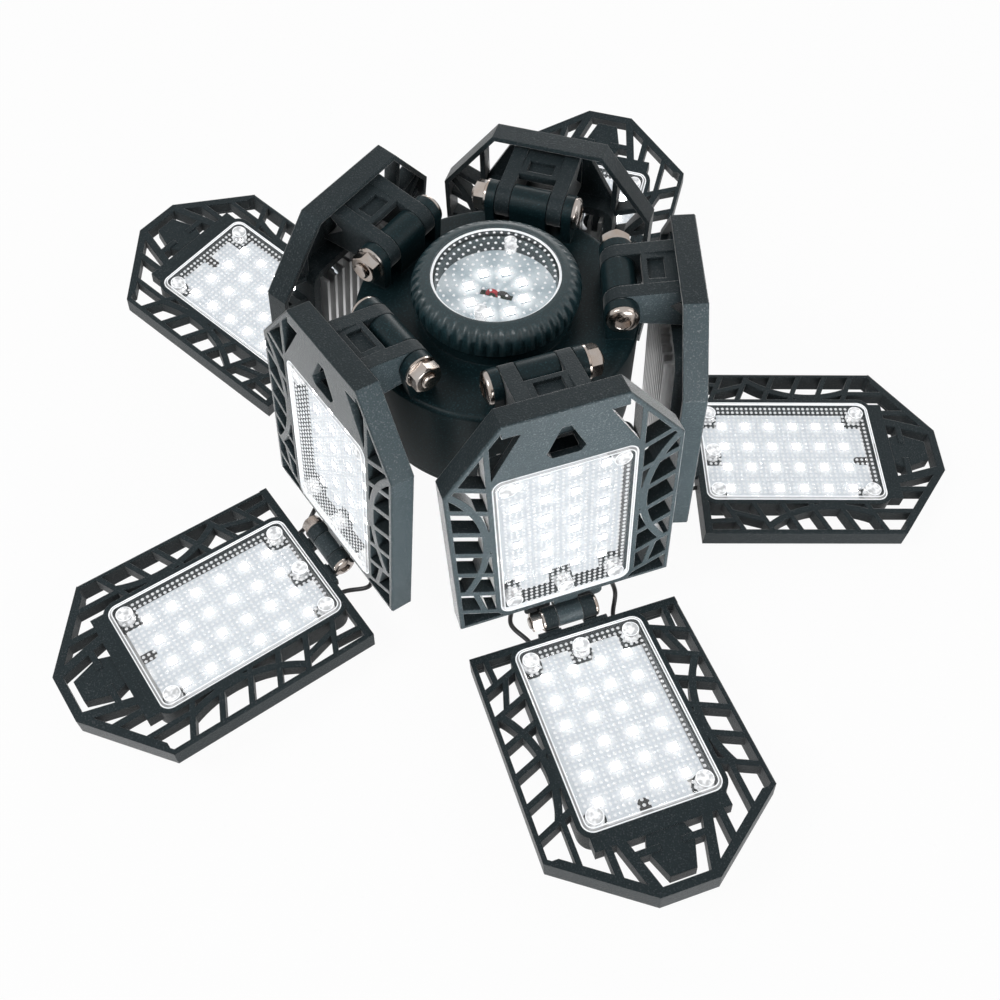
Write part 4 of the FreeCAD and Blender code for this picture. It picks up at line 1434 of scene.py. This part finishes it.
@dataclass(frozen=True)
class CentreLamp:
    """Lens, lamp board and supply leads of the hub's own lamp."""

    lens_radius: float = 23.4 * MM
    lens_thickness: float = 2.4 * MM
    lens_rise: float = 1.6 * MM
    rim_width: float = 2.2 * MM
    rim_rise: float = 0.35 * MM
    turn: float = math.radians(54.0)
    boss_circle: float = 17.5 * MM
    boss_radius: float = 2.3 * MM
    boss_length: float = 2.0 * MM
    dot_pitch: float = 3.0 * MM
    dot_radius: float = 0.56 * MM
    dot_height: float = 0.4 * MM
    dots_in_first_ring: int = 7
    board_radius: float = 22.5 * MM
    board_thickness: float = 1.6 * MM
    lamp: Lamp = Lamp(rim=0.15 * MM)
    lamp_circle: float = 10.5 * MM
    lamp_count: int = 8
    slot_length: float = 12.6 * MM
    slot_width: float = 3.8 * MM
    lead_radius: float = 0.8 * MM
    lead_bend: float = 1.9 * MM
    lead_sink: float = 1.0 * MM
    red_along: float = 1.4 * MM
    black_along: float = -2.6 * MM
    steps: int = 72

    def build(self, finishes: Finishes) -> None:
        """Adds the lens and the board with its leads.

        Args:
            finishes: the light's materials.
        """
        lens_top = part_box("centre_lens")[1].z
        lens = new_piece("hub_lens", self._lens(lens_top - self.lens_rise), "hub", finishes.glass)
        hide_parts("centre_lens")
        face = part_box("centre_board")[1].z - self.lamp.height
        board = new_piece("hub_lamps", self._board(face), "hub",
                          (finishes.hub_board, finishes.phosphor))
        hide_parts("centre_board")
        for name, along, material in (("lead_red", self.red_along, finishes.red_cable),
                                      ("lead_black", self.black_along, finishes.cable)):
            lead = new_piece(name, self._lead(face, along), "hub", (material,), smooth=60.0)

    def _height(self, reach: float) -> float:
        """Height of the lens's crown above its rim at this distance from the axis."""
        return self.lens_rise * (1 - 0.75 * (reach / (self.lens_radius - self.rim_width)) ** 2)

    def _lens(self, top: float) -> BMesh:
        """Draws the crowned lens with its bright rim, the bosses behind it and rings of dots.

        Args:
            top: height of the lens's rim.

        Returns:
            The lens's mesh.
        """
        shape = bmesh.new()
        bottom = top - self.lens_thickness
        outer = self.lens_radius
        edge = outer - self.rim_width
        lip = top + self.rim_rise
        crown = [(edge * share, top + self._height(edge * share))
                 for share in (0, 0.25, 0.5, 0.75, 1)]
        rim = [(edge + 0.05 * MM, top), (outer - 0.9 * MM, top), (outer - 0.7 * MM, lip),
               (outer - 0.1 * MM, lip), (outer, top), (outer, bottom), (0.0, bottom)]
        turned(shape, crown + rim, self.steps)
        point_outwards(shape)
        for face in shape.faces:
            middle = face.calc_center_median()
            if middle.z > top + 0.1 * MM and middle.xy.length > outer - MM:
                face.material_index = Glass.RIM
        for side in (-1, 1):
            x = side * self.boss_circle * math.cos(self.turn)
            y = side * self.boss_circle * math.sin(self.turn)
            boss = cone(shape, self.boss_radius * 0.94, self.boss_radius, self.boss_length + MM,
                        at(x, y, bottom - self.boss_length))
            ring = cone(shape, self.boss_radius, self.boss_radius * 0.8, 0.25 * MM,
                        at(x, y, top + self._height(self.boss_circle) - 0.1 * MM))
            set_slot(touching(boss + ring), Glass.BOSS)
        self._dots(shape, top)
        return shape

    def _dots(self, shape: BMesh, top: float) -> None:
        """Adds rings of small domes on the lens.

        Args:
            shape: the lens's mesh.
            top: height of the lens's rim.
        """
        rings = int((self.lens_radius - 1.8 * MM) / self.dot_pitch)
        for ring in range(rings + 1):
            reach = ring * self.dot_pitch
            height = top + self._height(reach) - 0.05 * MM
            count = max(1, self.dots_in_first_ring * ring)
            for index in range(count):
                angle = 2 * math.pi * index / count
                dot = cone(shape, self.dot_radius, self.dot_radius * 0.5, self.dot_height,
                           at(reach * math.cos(angle), reach * math.sin(angle), height), 8)
                set_slot(touching(dot), Glass.DOTS)

    def _board(self, face: float) -> BMesh:
        """Draws the round board with its slot and its lamps.

        Args:
            face: height of the board's face.

        Returns:
            The board's mesh.
        """
        shape = bmesh.new()
        pitch = 2 * math.pi * self.lamp_circle / self.lamp_count
        radii = (0.0, self.lamp_circle - pitch / 2, self.lamp_circle, self.lamp_circle + pitch / 2,
                 self.board_radius)
        turned(shape, [(radius, face) for radius in radii], self.steps)
        self._cut_slot(shape, face)
        point_outwards(shape)
        bmesh.ops.solidify(shape, geom=shape.faces[:], thickness=self.board_thickness)
        high = max(vert.co.z for vert in shape.verts)
        bmesh.ops.translate(shape, verts=shape.verts[:], vec=(0, 0, face - high))
        self._count_lamps(shape, pitch)
        side = self.lamp.size / 2
        for index in range(self.lamp_count):
            angle = self.turn + 2 * math.pi / self.lamp_count * index
            x = self.lamp_circle * math.cos(angle)
            y = self.lamp_circle * math.sin(angle)
            lit = facing(shape, block(shape, (x - side, y - side, face),
                                      (x + side, y + side, face + self.lamp.height)), "z")
            bmesh.ops.inset_region(shape, faces=lit, thickness=self.lamp.rim)
            set_slot(lit, Board.LIT)
        return shape

    def _count_lamps(self, shape: BMesh, pitch: float) -> None:
        """Adds the board's UV map, which counts the lamps round their circle.

        Args:
            shape: the board's mesh.
            pitch: the lamps' distance along their circle.
        """
        uv = shape.loops.layers.uv.new("lamps")
        step = 2 * math.pi / self.lamp_count
        for poly in shape.faces:
            middle = poly.calc_center_median()
            heading = math.atan2(middle.y, middle.x)
            for loop in poly.loops:
                co = loop.vert.co
                off = (math.atan2(co.y, co.x) - heading + math.pi) % (2 * math.pi) - math.pi
                angle = heading + (off if co.xy.length > MM / 2 else 0.0)
                around = (angle - self.turn) / step + 0.5
                out = (co.xy.length - self.lamp_circle) / pitch + 0.5
                loop[uv].uv = (around, min(1.0, max(0.0, out)))

    def _cut_slot(self, shape: BMesh, face: float) -> None:
        """Cuts the leads' slot through the flat board.

        Args:
            shape: the board's mesh.
            face: height of the board's face.
        """
        along = Vector((-math.sin(self.turn), math.cos(self.turn), 0))
        across = Vector((math.cos(self.turn), math.sin(self.turn), 0))
        sides = ((along, self.slot_length / 2), (across, self.slot_width / 2))
        for direction, reach in sides:
            for side in (-1, 1):
                split(shape, direction * side * reach + Vector((0, 0, face)), direction)
        gone = [poly for poly in shape.faces
                if all(abs(poly.calc_center_median().dot(direction)) < reach
                       for direction, reach in sides)]
        bmesh.ops.delete(shape, geom=gone, context="FACES")

    def _lead(self, face: float, along: float) -> BMesh:
        """Draws one supply lead, which humps up through the board's slot.

        Args:
            face: height of the board's face.
            along: the lead's place along the slot.

        Returns:
            The lead's mesh.
        """
        shape = bmesh.new()
        low = face - self.lead_sink
        bmesh.ops.create_circle(shape, segments=12, radius=self.lead_radius,
                                matrix=at(along - self.lead_bend, 0, low))
        bmesh.ops.spin(shape, geom=shape.verts[:] + shape.edges[:], cent=(along, 0, low),
                       axis=(0, 1, 0), angle=math.pi, steps=14)
        bmesh.ops.holes_fill(shape, edges=shape.edges[:], sides=12)
        point_outwards(shape)
        shape.transform(Matrix.Rotation(self.turn + math.pi / 2, 4, "Z"))
        return shape


@dataclass(frozen=True)
class Hub:
    """Hub housing, its lamp, the screw base and the shoulder bolts."""

    lamp: CentreLamp = CentreLamp()
    shell: ScrewShell = ScrewShell()

    def build(self, nodes: dict, places: Sequence[WingPlace], finishes: Finishes) -> None:
        """Dresses the hub's CAD pieces and adds its detailed ones.

        Args:
            nodes: the CAD pieces by name.
            places: the wings' places.
            finishes: the light's materials.
        """
        for name, material in (("hub_housing", finishes.hub_moulded),
                               ("hub_back_cover", finishes.hub_moulded),
                               ("grip_ring", finishes.grip), ("driver_board", finishes.green),
                               ("base_insulator", finishes.insulator)):
            dress(nodes[name], material)
        self.lamp.build(finishes)
        self.shell.build(finishes)
        bolts = bmesh.new()
        nuts = bmesh.new()
        for place in places:
            SHOULDER_BOLT.add(bolts, nuts, place.shoulder)
        for name, node, shape in (("shoulder_bolts", "hub_hinge_bolts", bolts),
                                  ("shoulder_nuts", "hub_hinge_nuts", nuts)):
            piece = new_piece(name, shape, "hub", (finishes.steel,))
            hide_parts(node)


# ---- stage -------------------------------------------------------------------------------------
@dataclass(frozen=True)
class Camera:
    """The photograph's camera, solved from the panels' corners in hundredths of a panel's width."""

    unit: float = 0.86 * MM
    origin_height: float = 50.0 * MM
    focal: float = 1.03964
    elevation: float = math.radians(57.066)
    azimuth: float = math.radians(-17.2735)
    roll: float = math.radians(-1.3)
    distance: float = 455.46
    shift_right: float = 1.272
    shift_up: float = -75.69
    sensor: float = 36.0

    def build(self) -> None:
        """Adds the camera and makes it the scene's."""
        reach = math.cos(self.elevation)
        back = Vector((math.sin(self.azimuth) * reach, -math.cos(self.azimuth) * reach,
                       math.sin(self.elevation)))
        level = (-back).cross(Vector((0, 0, 1))).normalized()
        upright = level.cross(-back)
        right = level * math.cos(self.roll) + upright * math.sin(self.roll)
        up = upright * math.cos(self.roll) - level * math.sin(self.roll)
        place = back * self.distance + right * self.shift_right + up * self.shift_up
        place = place * self.unit + Vector((0, 0, self.origin_height))
        data = bpy.data.cameras.new("camera")
        data.sensor_width = self.sensor
        data.lens = self.focal * self.sensor
        data.clip_start = 0.01
        camera = bpy.data.objects.new("camera", data)
        bpy.context.scene.collection.objects.link(camera)
        axes = Matrix((right, up, back)).transposed().to_4x4()
        camera.matrix_world = Matrix.Translation(place) @ axes
        bpy.context.scene.camera = camera


@dataclass(frozen=True)
class SoftLamp:
    """Square studio lamp that looks at the light's middle."""

    name: str
    place: tuple[float, float, float]
    size: float
    power: float
    aim_height: float = 0.03

    def build(self) -> bpy.types.Object:
        """Adds the lamp.

        Returns:
            The lamp.
        """
        data = bpy.data.lights.new(self.name, "AREA")
        data.size = self.size
        data.energy = self.power
        lamp = bpy.data.objects.new(self.name, data)
        bpy.context.scene.collection.objects.link(lamp)
        turn = (Vector((0, 0, self.aim_height)) - Vector(self.place)).to_track_quat("-Z", "Y")
        lamp.matrix_world = Matrix.Translation(self.place) @ turn.to_matrix().to_4x4()
        return lamp


@dataclass(frozen=True)
class Studio:
    """Pale floor, soft lamps and a white background."""

    floor_size: float = 6.0
    floor_gap: float = 0.5 * MM
    floor_grey: float = 0.86
    floor_glow: float = 0.95
    soft_light: float = 0.3
    lamps: tuple[SoftLamp, ...] = (
        SoftLamp("key", (-0.75, -0.1, 0.95), 0.5, 6.0),
        SoftLamp("fill", (0.8, -0.6, 0.8), 0.8, 2.5),
        SoftLamp("back", (0.55, 1.1, 0.3), 0.5, 4.0),
        SoftLamp("front", (0.1, -1.3, 0.1), 0.6, 7.0),
    )
    spill: SoftLamp = SoftLamp("spill", (0.03, -0.42, -0.03), 0.3, 9.0)

    def build(self, low: Vector, frames: Sequence[bpy.types.Object]) -> None:
        """Adds the stage.

        Args:
            low: the object's lowest corner.
            frames: the inner panels' frames, which a low lamp lights as the outer boards do.
        """
        self._floor(low.z - self.floor_gap)
        self._world()
        for lamp in self.lamps:
            lamp.build()
        spill = self.spill.build()
        spill.visible_camera = False
        lit = bpy.data.collections.new("inner_frames")
        for frame in frames:
            lit.objects.link(frame)
        spill.light_linking.receiver_collection = lit

    def _floor(self, height: float) -> None:
        """Adds the floor, which looks white and keeps the object's shadow.

        Args:
            height: its height.
        """
        shape = bmesh.new()
        bmesh.ops.create_grid(shape, x_segments=1, y_segments=1, size=self.floor_size / 2,
                              matrix=at(0, 0, height))
        mesh = bpy.data.meshes.new("floor")
        shape.to_mesh(mesh)
        shape.free()
        floor = bpy.data.objects.new("floor", mesh)
        bpy.context.scene.collection.objects.link(floor)
        tree = Tree.of_material("floor_pale")
        surface = tree.node("ShaderNodeBsdfDiffuse", {}, {"Color": grey(self.floor_grey)})
        shine = tree.node("ShaderNodeEmission", {}, {"Color": grey(1.0), "Strength": 1.0})
        factor = tree.background_rays() * self.floor_glow
        tree.show(tree.node("ShaderNodeMixShader", {}, {0: factor, 1: surface, 2: shine}))
        dress(floor, tree.owner)
        floor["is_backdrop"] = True

    def _world(self) -> None:
        """Makes the world white as a background and soft as a light."""
        world = bpy.data.worlds.new("studio")
        bpy.context.scene.world = world
        tree = Tree(world, "ShaderNodeOutputWorld")
        soft, white = (tree.node("ShaderNodeBackground", {},
                                 {"Color": grey(1.0), "Strength": strength})
                       for strength in (self.soft_light, 1.0))
        factor = tree.background_rays()
        tree.show(tree.node("ShaderNodeMixShader", {}, {0: factor, 1: soft, 2: white}))


def main() -> None:
    """Builds the light and its stage."""
    logging.basicConfig(level=logging.INFO, format="%(name)s %(message)s")
    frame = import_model()
    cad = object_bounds()
    bpy.context.scene.view_settings.view_transform = "Standard"
    finishes = Finishes()
    joints = {joint["name"]: joint for joint in frame["joints"]}
    places = [WingPlace.from_joints(number, joints) for number in range(1, len(joints) // 2 + 1)]
    faces = (PanelFace(Half.INNER, 28.5 * MM, 14.9 * MM),
             PanelFace(Half.OUTER, -2.4 * MM, 9.0 * MM))
    Hub().build(frame["nodes"], places, finishes)
    for place in places:
        Wing(place, faces).build(frame["nodes"], finishes)
    Camera().build()
    frames = [node for name, node in frame["nodes"].items() if name.startswith("inner_frame_")]
    Studio().build(Vector(cad[0]), frames)


if __name__ == "__main__":
    main()
